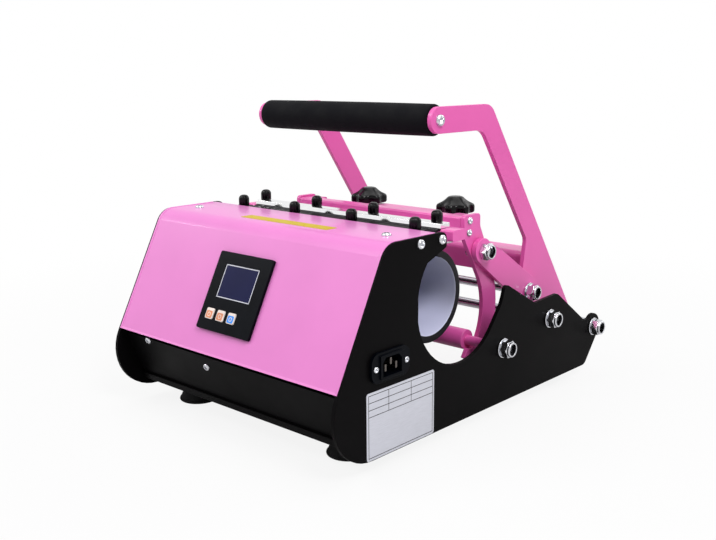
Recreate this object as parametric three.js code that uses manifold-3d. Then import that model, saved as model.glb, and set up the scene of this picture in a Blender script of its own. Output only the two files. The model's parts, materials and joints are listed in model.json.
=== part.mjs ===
// Mug heat press: two side plates carry a control box in front and a toggle clamp behind.
// The handle swings the clamp frame back through two links, which opens the heating mat.
// Millimetres, +Z up, -Y is the front. While a piece is drawn, y = 0 is the foremost point
// of the side plates and z = 0 their lower edge; the finished group is set on the floor below.

import * as THREE from 'three';
import { mergeVertices } from 'three/addons/utils/BufferGeometryUtils.js';
import Module from 'manifold-3d';

const wasm = await Module();
wasm.setup();

const DEG = Math.PI / 180;
const FULL_TURN = 2 * Math.PI;

// Clearances
const fit = {
  seat: 0.3,        // between two pieces that rest on each other
  bore: 0.15,       // between a shaft and its hole, on the radius
  overrun: 4,       // how far a cut runs past the piece that it cuts
};

// Faceting: sides of turned pieces, and how far a facet may lie inside the arc it stands for
const facets = { round: 20, small: 14, hex: 6, widestStep: 30 * DEG, sag: 0.13 };

// Driving sizes: the frame
const frame = {
  halfWidth: 160.5,       // middle to the outer face of a side plate
  plate: 4,               // side plate thickness
  height: 188.5,          // lower edge to top edge of a side plate
  slope: 62.9 * DEG,      // control panel, from the floor
  noseRadius: 46.5,       // lower front corner
  browRadius: 20,         // where the panel turns into the top
  topEnd: 149,            // rear end of the top edge, a lobe that ends above the mouth
  topEndRadius: 7,
  lobeDepth: 14.3,
  lobeRadius: 3,
};
const innerFace = frame.halfWidth - frame.plate;

// A mesh's corners closer than this are one corner
const weld = 1e-4;

// The round cut-out that the mug goes in through
const mouth = { y: 172, drop: 65, radius: 64.5, startTurn: 142 * DEG, endTurn: -36 * DEG };
mouth.z = frame.height - mouth.drop;

// Rear outline of a side plate; the wall and the horn lie beside the mouth
const tail = {
  wallRun: 67, wallDrop: 19.5, wallRadius: 30,
  hornRun: 73.5, hornDrop: 0.5, hornRadius: 5,
  dipY: 300, dipZ: 93, dipRadius: 10,
  rumpY: 344, rumpZ: 95, rumpRadius: 9,
  neckY: 404, neckZ: 53, neckRadius: 6,
  lugRadius: 15, lugTurn: 133 * DEG,
  heelY: 408, heelRadius: 10, heelTurn: 47 * DEG,
  footTab: { y: 372, length: 46, reach: 74, thickness: 4, corner: 8 },
};

// Toggle linkage: places of its pins on the side plates' plane
const pin = {
  link: { y: 252, z: 151 },       // link to clamp frame
  arm: { y: 340, z: 92.5 },       // link to handle
  clamp: { y: 242.5, z: 57.5 },   // clamp frame to frame
  stop: { y: 329, z: 70.5 },      // tie rod that the closed handle rests on
  handle: { y: 423, z: 42 },      // handle to frame
};

// Threaded fasteners of the pins
const bolt = { radius: 5, recess: 3.5 };
const nut = { flats: 16, height: 8, collar: 2.4, collarRadius: 6.6, washerRadius: 10, washer: 1.5 };
const widenedWasherRadius = 13;

// Layers outward from the middle: arm and clamp cheek share one, the links have the next
const layer = { setIn: 40.5, thickness: 5, linkGap: 0.5, linkThickness: 5 };
const layerInner = innerFace - layer.setIn;
const layerOuter = layerInner + layer.thickness;
const linkInner = layerOuter + layer.linkGap;
const linkOuter = linkInner + layer.linkThickness;

const handle = {
  grip: { y: 187, z: 284.5 },
  gripRadius: 15.5, coreRadius: 11, gripRound: 2.5,
  armWidth: 25.4, lean: 55.4 * DEG, elbowInside: 18,
  elbowY: 270.8,            // where the arm's upper edge would meet its rear edge
  waistZ: 150, waistRadius: 10, throatLean: 10 * DEG,
  hubShare: 0.96, hubTurn: 110 * DEG,   // where the waist meets the round end at the link rod
  screwHeadRadius: 6.5, screwHead: 3.4, screwRadius: 3, screwLength: 22,
};
const brace = { frontY: 347, topZ: 133.5, height: 27, depth: 33, thickness: 3, bend: 3 };

const link = { eyeRadius: 12.5, footRadius: 17, shoulderY: 286, shoulderZ: 147.5, slack: 7.2, sideSlack: 1.7 };

// A cheek is a crescent round the mat: a hook at its foot lies under the pivot tube, a lobe
// half way up holds the link's bolt, and its upright top carries the bar
const cheek = {
  y: 195.8, z: 91.2, innerRadius: 66.7, outerRadius: 90,
  frontY: 228.5, frontZ: 166, frontRound: 16, topDepth: 27, topZ: 189, topRadius: 4,
  lobeRadius: 14.4, lobeLow: -8 * DEG, shoulderZ: 176, shoulderRound: 8,
  bandLow: -16 * DEG, hookRadius: 20, toeTurn: 236 * DEG, toeRadius: 3,
};
const clampBar = { depth: 25, top: 187, height: 22.5, round: 2, wall: 4, flange: 14.5, blockLength: 20 };
clampBar.front = cheek.frontY;
const shelf = { rear: 304, halfWidth: 76, thickness: 4, corner: 14, top: 178 };
const pivotTube = { radius: 10.5 };

// Clamping strips of the mat, front and rear
const strip = { width: 15, setIn: 24.5, corner: 2 };
strip.halfLength = innerFace - strip.setIn;
const frontClamp = { y: 150, top: 186, thickness: 3 };
const rearClamp = { y: 182.5, top: 188.6, thickness: 4.5, tab: 15, padHeight: 8, padDepth: 20, padShift: 2.5 };
const carrier = {
  thickness: 2, setIn: 4, tailHalfWidth: 72, bend: 3, drop: 6.5, dropStart: 197, dropEnd: 208, slotLength: 26,
};
const screwKnob = {
  count: 4, pitch: 81.5, radius: 5.4, height: 11.5, dome: 3.6, brow: 1.2,
  shankRadius: 2.5, shank: 14, browShare: 0.78, tipShare: 0.34,
};

const starKnob = {
  x: 63, y: 290, radius: 19, lobes: 6, lobeDepth: 3.8, lobeSteps: 6, skirt: 2.4, height: 18,
  washer: 1.4, washerRadius: 10, studRadius: 4, stud: 24,
  // Flank from the rim up to the crown, as shares of its height and radius
  flankShares: [[0.42, 1], [0.56, 0.9], [0.74, 0.6], [0.92, 0.46], [1, 0.36]],
};

// Heating mat: a thick ring, open on top, with a thin flap each side of the gap
const mat = {
  y: 165, z: 120, outer: 45.5, thickness: 7.5, gapTurn: 9 * DEG, flap: 2.4, flapBend: 2.5, overhang: 2,
};
mat.halfLength = strip.halfLength - mat.overhang;

const cover = { thickness: 2, lip: 9, rear: 140, bottomZ: 69.7, openingInset: 3 };
const pan = {
  thickness: 2, bottomZ: 9, frontY: 34.5, tuckZ: 64, tuckY: 12.5, rearY: 114, rearDrop: 8.5, bend: 6,
};
const bracket = { thickness: 2.6, height: 7.5, depth: 9.4, bend: 2.4 };

const foot = {
  radius: 21, setIn: 49.5, y: 69, drop: 13.5, flange: 3.4, waistRadius: 17.5, neckRadius: 15,
  dish: 2.2, dishRadius: 11.5,
};
foot.x = frame.halfWidth - foot.setIn;

// Controller on the sloping panel: its own frame has y up the slope and z out of it
const controller = {
  width: 76, height: 78, corner: 2, rise: 3, up: 61.9, bodyInset: 4.5, bodyDepth: 34,
  screenWidth: 48, screenHeight: 33.5, screenUp: 10.4, screenX: -0.6, screenSink: 0.6, screenThickness: 1.8,
};
const button = {
  size: 10.6, pitch: 15.7, firstX: -24, up: -23.2, corner: 1.6, proud: 1, depth: 4.4, travel: 1.2,
};

const inlet = {
  y: 68.4, z: 83, screwSpacing: 40, length: 50, height: 27, flange: 3, bodyLength: 30, bodyHeight: 22,
  bodyDepth: 22, wellLength: 24.5, wellHeight: 17, wellChamfer: 4, wellDepth: 16, screwRadius: 1.8,
  pinWidth: 2, pinHeight: 6, pinLength: 14, pinPitch: 7, earthRise: 3.5, liveDrop: 1.5, hood: 1.6,
};

// Shapes in the side view: x of a point stands for y, y for z

// Points of a polygon whose corners are rounded; a corner is [y, z, radius] and an arc,
// { y, z, radius, from, to }, goes in as it is.
function roundedPoints(corners) {
  const points = [];
  const count = corners.length;
  const nodeOf = (entry, end) => {
    if (Array.isArray(entry)) return new THREE.Vector2(entry[0], entry[1]);
    const turn = end === 'from' ? entry.from : entry.to;
    return new THREE.Vector2(entry.y + entry.radius * Math.cos(turn), entry.z + entry.radius * Math.sin(turn));
  };
  corners.forEach((entry, i) => {
    if (!Array.isArray(entry)) {
      points.push(...arcPoints(entry));
      return;
    }
    const here = nodeOf(entry);
    const radius = entry[2] ?? 0;
    const before = nodeOf(corners[(i + count - 1) % count], 'to').sub(here).normalize();
    const after = nodeOf(corners[(i + 1) % count], 'from').sub(here).normalize();
    if (radius === 0) {
      points.push(here);
      return;
    }
    const half = Math.acos(THREE.MathUtils.clamp(before.dot(after), -1, 1)) / 2;
    const tangent = radius / Math.tan(half);
    const inward = before.clone().add(after).normalize();
    const centre = here.clone().addScaledVector(inward, radius / Math.sin(half));
    const start = here.clone().addScaledVector(before, tangent).sub(centre).angle();
    const end = here.clone().addScaledVector(after, tangent).sub(centre).angle();
    let sweep = end - start;
    if (sweep > Math.PI) sweep -= FULL_TURN;
    if (sweep < -Math.PI) sweep += FULL_TURN;
    points.push(...arcPoints({ y: centre.x, z: centre.y, radius, from: start, to: start + sweep }));
  });
  return points;
}

function arcPoints({ y, z, radius, from, to }) {
  const step = Math.min(facets.widestStep, 2 * Math.acos(Math.max(0, 1 - facets.sag / radius)));
  const steps = Math.max(1, Math.ceil(Math.abs(to - from) / step - weld));
  const points = [];
  for (let i = 0; i <= steps; i += 1) {
    const turn = from + (to - from) * i / steps;
    points.push(new THREE.Vector2(y + radius * Math.cos(turn), z + radius * Math.sin(turn)));
  }
  return points;
}

// Section of a bent sheet: the points run along one face, the sheet lies to their left
function sheetPoints(corners, thickness, bend) {
  const path = corners.map(([y, z]) => new THREE.Vector2(y, z));
  const leftOf = (a, b) => new THREE.Vector2(a.y - b.y, b.x - a.x).normalize();
  const near = [];
  const far = [];
  path.forEach((point, i) => {
    const before = i > 0 ? leftOf(path[i - 1], point) : null;
    const after = i < path.length - 1 ? leftOf(point, path[i + 1]) : null;
    const side = (before && after ? before.clone().add(after).normalize() : (before ?? after));
    const stretch = before && after ? thickness / side.dot(before) : thickness;
    const twin = point.clone().addScaledVector(side, stretch);
    const turnsLeft = before && after && before.x * after.y - before.y * after.x > 0;
    const ends = !(before && after);
    near.push([point.x, point.y, ends ? 0 : (turnsLeft ? bend + thickness : bend)]);
    far.unshift([twin.x, twin.y, ends ? 0 : (turnsLeft ? bend : bend + thickness)]);
  });
  return roundedPoints([...near, ...far]);
}

// Geometry helpers

const SIDE_VIEW = new THREE.Matrix4().makeBasis(
  new THREE.Vector3(0, 1, 0), new THREE.Vector3(0, 0, 1), new THREE.Vector3(1, 0, 0));

function extrudeAcross(points, fromX, toX) {
  const geometry = new THREE.ExtrudeGeometry(new THREE.Shape(points), {
    depth: toX - fromX, bevelEnabled: false, steps: 1,
  });
  geometry.translate(0, 0, fromX);
  return geometry.applyMatrix4(SIDE_VIEW);
}

function rodAcross(y, z, radius, fromX, toX, sides = facets.small) {
  const geometry = new THREE.CylinderGeometry(radius, radius, toX - fromX, sides);
  geometry.rotateZ(-Math.PI / 2);
  return geometry.translate((fromX + toX) / 2, y, z);
}

// A turned piece whose axis lies across the press; the profile is [[along, radius], ...] from x
function turnedAcross(y, z, profile, sides = facets.small) {
  const points = profile.map(([along, radius]) => new THREE.Vector2(radius, along));
  const geometry = new THREE.LatheGeometry(points, sides);
  geometry.rotateZ(-Math.PI / 2);
  return geometry.translate(0, y, z);
}

function turnedUpright(profile, sides = facets.small) {
  const points = profile.map(([height, radius]) => new THREE.Vector2(radius, height));
  return new THREE.LatheGeometry(points, sides).rotateX(Math.PI / 2);
}

function box(fromX, toX, fromY, toY, fromZ, toZ) {
  const geometry = new THREE.BoxGeometry(toX - fromX, toY - fromY, toZ - fromZ);
  return geometry.translate((fromX + toX) / 2, (fromY + toY) / 2, (fromZ + toZ) / 2);
}

// A flat plate with rounded corners, lying on local z = 0
function roundedSlab(width, height, corner, thickness) {
  const half = [width / 2, height / 2];
  const outline = roundedPoints([
    [-half[0], -half[1], corner], [half[0], -half[1], corner],
    [half[0], half[1], corner], [-half[0], half[1], corner],
  ]);
  return new THREE.ExtrudeGeometry(new THREE.Shape(outline), {
    depth: thickness, bevelEnabled: false, steps: 1,
  });
}

function solid(geometry) {
  const bare = geometry.clone();
  bare.deleteAttribute('normal');
  bare.deleteAttribute('uv');
  const merged = mergeVertices(bare, weld);
  return new wasm.Manifold(new wasm.Mesh({
    numProp: 3,
    vertProperties: Float32Array.from(merged.attributes.position.array),
    triVerts: Uint32Array.from(merged.index.array),
  }));
}

function joined(first, ...others) {
  return others.reduce((whole, piece) => whole.add(solid(piece)), asSolid(first));
}

function cut(body, ...tools) {
  return tools.reduce((rest, tool) => rest.subtract(solid(tool)), asSolid(body));
}

function asSolid(shape) {
  return shape.isBufferGeometry ? solid(shape) : shape;
}

function asGeometry(shape) {
  if (shape.isBufferGeometry) return shape;
  const { vertProperties, triVerts } = shape.getMesh();
  const geometry = new THREE.BufferGeometry();
  geometry.setAttribute('position', new THREE.BufferAttribute(vertProperties, 3));
  geometry.setIndex(new THREE.BufferAttribute(triVerts, 1));
  geometry.computeVertexNormals();
  return geometry;
}

// Turns a piece made for the right side into the one for the left
function mirrored(shape) {
  const geometry = asGeometry(shape).clone();
  geometry.scale(-1, 1, 1);
  const flat = geometry.index ? geometry.toNonIndexed() : geometry;
  const position = flat.attributes.position;
  const corner = new THREE.Vector3();
  const other = new THREE.Vector3();
  for (let i = 0; i < position.count; i += 3) {
    corner.fromBufferAttribute(position, i);
    other.fromBufferAttribute(position, i + 1);
    position.setXYZ(i, other.x, other.y, other.z);
    position.setXYZ(i + 1, corner.x, corner.y, corner.z);
  }
  flat.computeVertexNormals();
  return flat;
}

// Materials
const finish = {
  pinkCover: new THREE.MeshStandardMaterial({ color: 0xe98cd4, roughness: 0.4, metalness: 0.1 }),
  pinkSteel: new THREE.MeshStandardMaterial({ color: 0xe070ba, roughness: 0.4, metalness: 0.1 }),
  blackSteel: new THREE.MeshStandardMaterial({ color: 0x141214, roughness: 0.5, metalness: 0.2 }),
  blackPlastic: new THREE.MeshStandardMaterial({ color: 0x0c0e14, roughness: 0.35, metalness: 0 }),
  brightSteel: new THREE.MeshStandardMaterial({ color: 0xd6d6da, roughness: 0.2, metalness: 1 }),
  rubber: new THREE.MeshStandardMaterial({ color: 0x101010, roughness: 0.8, metalness: 0 }),
  foam: new THREE.MeshStandardMaterial({ color: 0x16161a, roughness: 0.95, metalness: 0 }),
  silicone: new THREE.MeshStandardMaterial({ color: 0x6a6880, roughness: 0.6, metalness: 0 }),
  glass: new THREE.MeshStandardMaterial({ color: 0x202050, roughness: 0.1, metalness: 0 }),
  orange: new THREE.MeshStandardMaterial({ color: 0xcd7855, roughness: 0.5, metalness: 0 }),
  blue: new THREE.MeshStandardMaterial({ color: 0x328ceb, roughness: 0.5, metalness: 0 }),
};

const press = new THREE.Group();

function place(name, shape, material, parent = press) {
  const mesh = new THREE.Mesh(asGeometry(shape), material);
  mesh.name = name;
  parent.add(mesh);
  return mesh;
}

function placePair(name, shape, material) {
  place(`${name}_right`, shape, material);
  place(`${name}_left`, mirrored(shape), material);
}

// Side plates

const slopeRun = 1 / Math.tan(frame.slope);

// The panel's front line meets the lower edge ahead of y = 0, because the nose is rounded
const noseY = frame.noseRadius - frame.noseRadius / Math.tan(frame.slope / 2);

function panelY(z) {
  return noseY + z * slopeRun;
}

function pinHole(place_, radius = bolt.radius) {
  return rodAcross(place_.y, place_.z, radius + fit.bore,
    innerFace - fit.overrun, frame.halfWidth + fit.overrun);
}

function sidePlate() {
  const lug = { y: pin.handle.y, z: pin.handle.z, radius: tail.lugRadius };
  const outline = roundedPoints([
    [noseY, 0, frame.noseRadius],
    [tail.heelY, 0, tail.heelRadius],
    { ...lug, from: tail.heelTurn - Math.PI / 2, to: tail.lugTurn },
    [tail.neckY, tail.neckZ, tail.neckRadius],
    [tail.rumpY, tail.rumpZ, tail.rumpRadius],
    [tail.dipY, tail.dipZ, tail.dipRadius],
    [mouth.y + tail.hornRun, mouth.z - tail.hornDrop, tail.hornRadius],
    [mouth.y + tail.wallRun, mouth.z - tail.wallDrop, tail.wallRadius],
    { ...mouth, from: mouth.endTurn, to: mouth.startTurn - FULL_TURN },
    [frame.topEnd, frame.height - frame.lobeDepth, frame.lobeRadius],
    [frame.topEnd, frame.height, frame.topEndRadius],
    [panelY(frame.height), frame.height, frame.browRadius],
  ]);
  return extrudeAcross(outline, innerFace, frame.halfWidth);
}

function footTab() {
  const { y, length, reach, thickness, corner } = tail.footTab;
  const slab = roundedSlab(2 * reach, length, corner, thickness);
  return cut(slab.translate(innerFace, y, 0),
    box(frame.halfWidth - frame.plate / 2, innerFace + reach + fit.overrun, y - length, y + length,
      -fit.overrun, thickness + fit.overrun));
}

function sidePlateWithHoles() {
  const pins = [pin.clamp, pin.stop, pin.handle].map((place_) => pinHole(place_));
  return cut(sidePlate(), ...pins).add(footTab());
}

function inletCutout() {
  return box(innerFace - fit.overrun, frame.halfWidth + fit.overrun,
    inlet.y - inlet.bodyLength / 2 - fit.seat, inlet.y + inlet.bodyLength / 2 + fit.seat,
    inlet.z - inlet.bodyHeight / 2 - fit.seat, inlet.z + inlet.bodyHeight / 2 + fit.seat);
}

place('side_plate_right', cut(sidePlateWithHoles(), inletCutout()), finish.blackSteel);
place('side_plate_left', mirrored(sidePlateWithHoles()), finish.blackSteel);

// Control box: cover, pan and controller

const boxHalf = innerFace - fit.seat;

// Frame of the sloping panel, its origin on the panel's face at the cover's lower edge
const panelFrame = new THREE.Group();
panelFrame.position.set(0, panelY(cover.bottomZ), cover.bottomZ);
panelFrame.rotation.x = frame.slope;
panelFrame.updateMatrix();
press.add(panelFrame);

function onPanel(geometry) {
  return geometry.applyMatrix4(panelFrame.matrix);
}

function coverPanel() {
  // The rear lip is bent tighter than the brow, so it is a strip of its own
  const top = sheetPoints([
    [cover.rear - cover.lip, frame.height],
    [panelY(frame.height), frame.height],
    [panelY(cover.bottomZ), cover.bottomZ],
  ], cover.thickness, frame.browRadius - cover.thickness);
  const lip = sheetPoints([
    [cover.rear, frame.height - cover.lip],
    [cover.rear, frame.height],
    [cover.rear - 2 * cover.lip, frame.height],
  ], cover.thickness, cover.thickness / 2);
  const opening = roundedSlab(controller.width - 2 * controller.bodyInset + 2 * fit.seat,
    controller.height - 2 * controller.bodyInset + 2 * fit.seat, controller.corner, 2 * fit.overrun);
  const window_ = onPanel(opening.translate(0, controller.up, -fit.overrun));
  return cut(joined(extrudeAcross(top, -boxHalf, boxHalf), extrudeAcross(lip, -boxHalf, boxHalf)), window_);
}

place('control_box_cover', coverPanel(), finish.pinkCover);

function basePan() {
  const section = sheetPoints([
    [pan.tuckY, pan.tuckZ],
    [pan.frontY, pan.bottomZ],
    [pan.rearY, pan.bottomZ],
    [pan.rearY, frame.height - pan.rearDrop],
  ], pan.thickness, pan.bend);
  return extrudeAcross(section, -boxHalf, boxHalf);
}

place('base_pan', basePan(), finish.blackSteel);

function controllerBezel() {
  const { width, height, corner, rise, bodyInset, bodyDepth, screenWidth, screenHeight } = controller;
  const face = roundedSlab(width, height, corner, rise).translate(0, controller.up, fit.seat);
  const body = roundedSlab(width - 2 * bodyInset, height - 2 * bodyInset, corner, bodyDepth + rise / 2);
  body.translate(0, controller.up, fit.seat - bodyDepth);
  const top = fit.seat + rise;
  const screenWell = roundedSlab(screenWidth + 2 * fit.seat, screenHeight + 2 * fit.seat,
    corner / 2, fit.overrun);
  screenWell.translate(controller.screenX, controller.up + controller.screenUp,
    top - controller.screenSink - controller.screenThickness - fit.seat);
  const wells = buttonPlaces().map(({ x, up }) => {
    const size = button.size + 2 * fit.seat;
    const well = roundedSlab(size, size, button.corner, 2 * button.depth);
    return well.translate(x, up, top + button.proud - button.depth - button.travel - fit.seat);
  });
  return cut(joined(face, body), screenWell, ...wells);
}

function buttonPlaces() {
  const at = (i) => ({ x: button.firstX + i * button.pitch, up: controller.up + button.up });
  return [at(0), at(1), at(2)];
}

place('controller_bezel', controllerBezel(), finish.blackPlastic, panelFrame);

const screenSlab = roundedSlab(controller.screenWidth, controller.screenHeight, controller.corner / 2,
  controller.screenThickness);
screenSlab.translate(controller.screenX, controller.up + controller.screenUp,
  fit.seat + controller.rise - controller.screenSink - controller.screenThickness);
place('controller_screen', screenSlab, finish.glass, panelFrame);

const buttonNames = ['timer_button', 'set_button', 'start_button'];
const buttonColours = [finish.orange, finish.orange, finish.blue];
buttonPlaces().forEach(({ x, up }, i) => {
  const cap = roundedSlab(button.size, button.size, button.corner, button.depth);
  cap.translate(x, up, fit.seat + controller.rise + button.proud - button.depth);
  place(buttonNames[i], cap, buttonColours[i], panelFrame);
});

// Power inlet, on the right side plate

// A slab that stands on the right side plate's outer face
function onRightPlate(geometry, y, z) {
  return geometry.applyMatrix4(SIDE_VIEW).translate(frame.halfWidth, y, z);
}

function powerInlet() {
  const flange = onRightPlate(roundedSlab(inlet.length, inlet.height, inlet.height / 3, inlet.flange),
    inlet.y, inlet.z);
  const rim = onRightPlate(roundedSlab(inlet.bodyLength, inlet.bodyHeight, inlet.hood,
    inlet.flange + inlet.hood), inlet.y, inlet.z);
  const body = box(frame.halfWidth - inlet.bodyDepth, frame.halfWidth + inlet.flange / 2,
    inlet.y - inlet.bodyLength / 2, inlet.y + inlet.bodyLength / 2,
    inlet.z - inlet.bodyHeight / 2, inlet.z + inlet.bodyHeight / 2);
  const mouthX = frame.halfWidth + inlet.flange + inlet.hood;
  const halfL = inlet.wellLength / 2;
  const halfH = inlet.wellHeight / 2;
  const well = extrudeAcross(roundedPoints([
    [inlet.y - halfL, inlet.z - halfH], [inlet.y + halfL, inlet.z - halfH],
    [inlet.y + halfL, inlet.z + halfH - inlet.wellChamfer],
    [inlet.y + halfL - inlet.wellChamfer, inlet.z + halfH],
    [inlet.y - halfL + inlet.wellChamfer, inlet.z + halfH],
    [inlet.y - halfL, inlet.z + halfH - inlet.wellChamfer],
  ]), mouthX - inlet.wellDepth, mouthX + fit.overrun);
  const holes = [-1, 1].map((side) => rodAcross(inlet.y + side * inlet.screwSpacing / 2, inlet.z,
    inlet.screwRadius, frame.halfWidth - fit.overrun, mouthX + fit.overrun));
  const floorX = mouthX - inlet.wellDepth;
  const blade = (offset, rise) => box(floorX - fit.overrun / 2, floorX + inlet.pinLength,
    inlet.y + offset - inlet.pinWidth / 2, inlet.y + offset + inlet.pinWidth / 2,
    inlet.z + rise - inlet.pinHeight / 2, inlet.z + rise + inlet.pinHeight / 2);
  const shell = cut(joined(flange, rim, body), well, ...holes);
  return joined(shell, blade(-inlet.pinPitch, -inlet.liveDrop), blade(0, inlet.earthRise),
    blade(inlet.pinPitch, -inlet.liveDrop));
}

place('power_inlet', powerInlet(), finish.blackPlastic);

// Feet

function rubberFoot(seatZ) {
  const top = seatZ + foot.drop - fit.seat;
  return turnedUpright([
    [foot.dish, 0],
    [foot.dish, foot.dishRadius],
    [0, foot.radius - foot.dish],
    [0, foot.radius],
    [foot.flange / 2, foot.radius],
    [foot.flange, foot.radius - foot.flange / 2],
    [foot.flange * 2, foot.waistRadius],
    [top, foot.neckRadius],
    [top, 0],
  ], facets.round);
}

const rearFootX = innerFace - tail.footTab.reach + tail.footTab.length / 2;
const feet = [
  ['front_foot_right', foot.x, foot.y, pan.bottomZ],
  ['front_foot_left', -foot.x, foot.y, pan.bottomZ],
  ['rear_foot_right', rearFootX, tail.footTab.y, 0],
  ['rear_foot_left', -rearFootX, tail.footTab.y, 0],
];
feet.forEach(([name, x, y, seatZ]) => {
  place(name, rubberFoot(seatZ), finish.rubber).position.set(x, y, -foot.drop);
});

// Pins across the press

// A lock nut with its washer face inwards, on the right side, seated at x
function lockNut(at, x, washerRadius = nut.washerRadius) {
  const washer = rodAcross(at.y, at.z, washerRadius, x, x + nut.washer, facets.small);
  const across = nut.flats / Math.sqrt(3);
  const hexFrom = x + nut.washer / 2;
  const hexTo = x + nut.washer + nut.height;
  const hex = rodAcross(at.y, at.z, across, hexFrom, hexTo, facets.hex);
  const collar = rodAcross(at.y, at.z, nut.collarRadius, hexTo - nut.collar, hexTo + nut.collar, facets.small);
  const bore = rodAcross(at.y, at.z, bolt.radius + fit.bore,
    x - fit.overrun, hexTo + nut.collar + fit.overrun);
  return cut(joined(washer, hex, collar), bore);
}

const nutReach = nut.washer + nut.height + nut.collar - bolt.recess;

// A shaft across the press: thin ends take the nuts, shoulders hold the plates apart
function tieShaft(at, shoulderFrom, shoulderRadius) {
  const end = frame.halfWidth + fit.seat + nutReach;
  const shoulderTo = innerFace - fit.seat;
  const half = [[shoulderFrom, bolt.radius], [shoulderFrom, shoulderRadius], [shoulderTo, shoulderRadius],
    [shoulderTo, bolt.radius], [end, bolt.radius], [end, 0]];
  const other = half.map(([along, radius]) => [-along, radius]).reverse();
  return turnedAcross(at.y, at.z, [...other, ...half]);
}

const shoulder = { radius: 8, length: 8 };
place('clamp_pivot_shaft', tieShaft(pin.clamp, innerFace - shoulder.length, shoulder.radius), finish.brightSteel);
place('handle_pivot_shaft', tieShaft(pin.handle, layerOuter + fit.seat, shoulder.radius), finish.brightSteel);
place('stop_rod', tieShaft(pin.stop, innerFace - shoulder.length, shoulder.radius), finish.brightSteel);

const outerSeat = frame.halfWidth + fit.seat;
placePair('clamp_pivot_nut', lockNut(pin.clamp, outerSeat), finish.brightSteel);
placePair('handle_pivot_nut', lockNut(pin.handle, outerSeat), finish.brightSteel);
placePair('stop_rod_nut', lockNut(pin.stop, outerSeat), finish.brightSteel);

// Front clamp of the mat

const flapTop = frontClamp.top - frontClamp.thickness - fit.seat;
const shelfTop = flapTop - mat.flap - fit.seat;

function frontBracket() {
  const from = frontClamp.y - strip.width / 2;
  const section = sheetPoints([
    [from, shelfTop - bracket.height],
    [from, shelfTop],
    [from + bracket.depth, shelfTop],
  ].reverse(), bracket.thickness, bracket.bend);
  const holes = knobPlaces().map((x) => uprightHole(x, frontClamp.y, screwKnob.shankRadius + fit.bore,
    shelfTop - bracket.height, frontClamp.top));
  return cut(extrudeAcross(section, -boxHalf, boxHalf), ...holes);
}

function knobPlaces() {
  const middle = (screwKnob.count - 1) / 2;
  return Array.from({ length: screwKnob.count }, (_, i) => (i - middle) * screwKnob.pitch);
}

function uprightHole(x, y, radius, fromZ, toZ) {
  const height = toZ - fromZ + 2 * fit.overrun;
  return new THREE.CylinderGeometry(radius, radius, height, facets.small)
    .rotateX(Math.PI / 2).translate(x, y, (fromZ + toZ) / 2);
}

function clampStrip({ y, top, thickness }) {
  const slab = roundedSlab(2 * strip.halfLength, strip.width, strip.corner, thickness);
  slab.translate(0, y, top - thickness);
  const holes = knobPlaces().map((x) => uprightHole(x, y, screwKnob.shankRadius + fit.bore,
    top - thickness, top));
  return cut(slab, ...holes);
}

// A domed black knob moulded on a clamp screw
function clampScrew() {
  const { radius, height, dome, brow, shankRadius, shank, browShare, tipShare } = screwKnob;
  return turnedUpright([
    [-shank, 0],
    [-shank, shankRadius],
    [fit.seat, shankRadius],
    [fit.seat, radius - fit.seat],
    [2 * fit.seat, radius],
    [height - dome, radius],
    [height - brow, radius * browShare],
    [height, radius * tipShare],
    [height, 0],
  ], facets.small);
}

place('front_mat_bracket', frontBracket(), finish.pinkCover);
place('front_clamp_strip', clampStrip(frontClamp), finish.blackSteel);
knobPlaces().forEach((x, i) => {
  place(`front_clamp_screw_${i + 1}`, clampScrew(), finish.blackPlastic)
    .position.set(x, frontClamp.y, frontClamp.top);
});

// Heating mat

function heatingMat() {
  const middle = mat.outer - mat.thickness;
  const start = Math.PI / 2 + mat.gapTurn;
  const end = Math.PI / 2 + FULL_TURN - mat.gapTurn;
  const ring = [
    ...arcPoints({ y: mat.y, z: mat.z, radius: mat.outer, from: start, to: end }),
    ...arcPoints({ y: mat.y, z: mat.z, radius: middle, from: end, to: start }),
  ];
  const rootY = mat.y - mat.outer * Math.sin(mat.gapTurn);
  const rootZ = mat.z + mat.outer * Math.cos(mat.gapTurn) - mat.thickness / 2;
  const flap = sheetPoints([
    [rootY, rootZ],
    [rootY, flapTop],
    [frontClamp.y - strip.width / 2 + fit.overrun / 2, flapTop],
  ], mat.flap, mat.flapBend);
  const holes = knobPlaces().map((x) => uprightHole(x, frontClamp.y, screwKnob.shankRadius + fit.bore,
    flapTop - mat.flap, flapTop));
  return cut(joined(extrudeAcross(ring, -mat.halfLength, mat.halfLength),
    extrudeAcross(flap, -mat.halfLength, mat.halfLength)), ...holes);
}

place('heating_mat', heatingMat(), finish.silicone);

// The mat's rear flap, held by the clamp frame
const rearFlapTop = rearClamp.top - rearClamp.thickness - fit.seat;
const padTop = rearFlapTop - mat.flap - fit.seat;

function matRearFlap() {
  const rootY = mat.y + mat.outer * Math.sin(mat.gapTurn) - mat.flap;
  const rootZ = mat.z + mat.outer + fit.seat;
  const section = sheetPoints([
    [rearClamp.y + strip.width / 2 - fit.overrun / 2, rearFlapTop],
    [rootY, rearFlapTop],
    [rootY, rootZ],
  ], mat.flap, mat.flapBend);
  const holes = knobPlaces().map((x) => uprightHole(x, rearClamp.y, screwKnob.shankRadius + fit.bore,
    padTop, rearClamp.top));
  return cut(extrudeAcross(section, -mat.halfLength, mat.halfLength), ...holes);
}

place('mat_rear_flap', matRearFlap(), finish.silicone);

// Clamp frame: two cheeks, the bar between them, the tube on its pivot and the rear clamp

// Turn of the tangent point on a circle for a line from a point outside it
function tangentTurn(from, circle, side) {
  const run = from.y - circle.y;
  const rise = from.z - circle.z;
  return Math.atan2(rise, run) + side * Math.acos(circle.radius / Math.hypot(run, rise));
}

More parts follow.
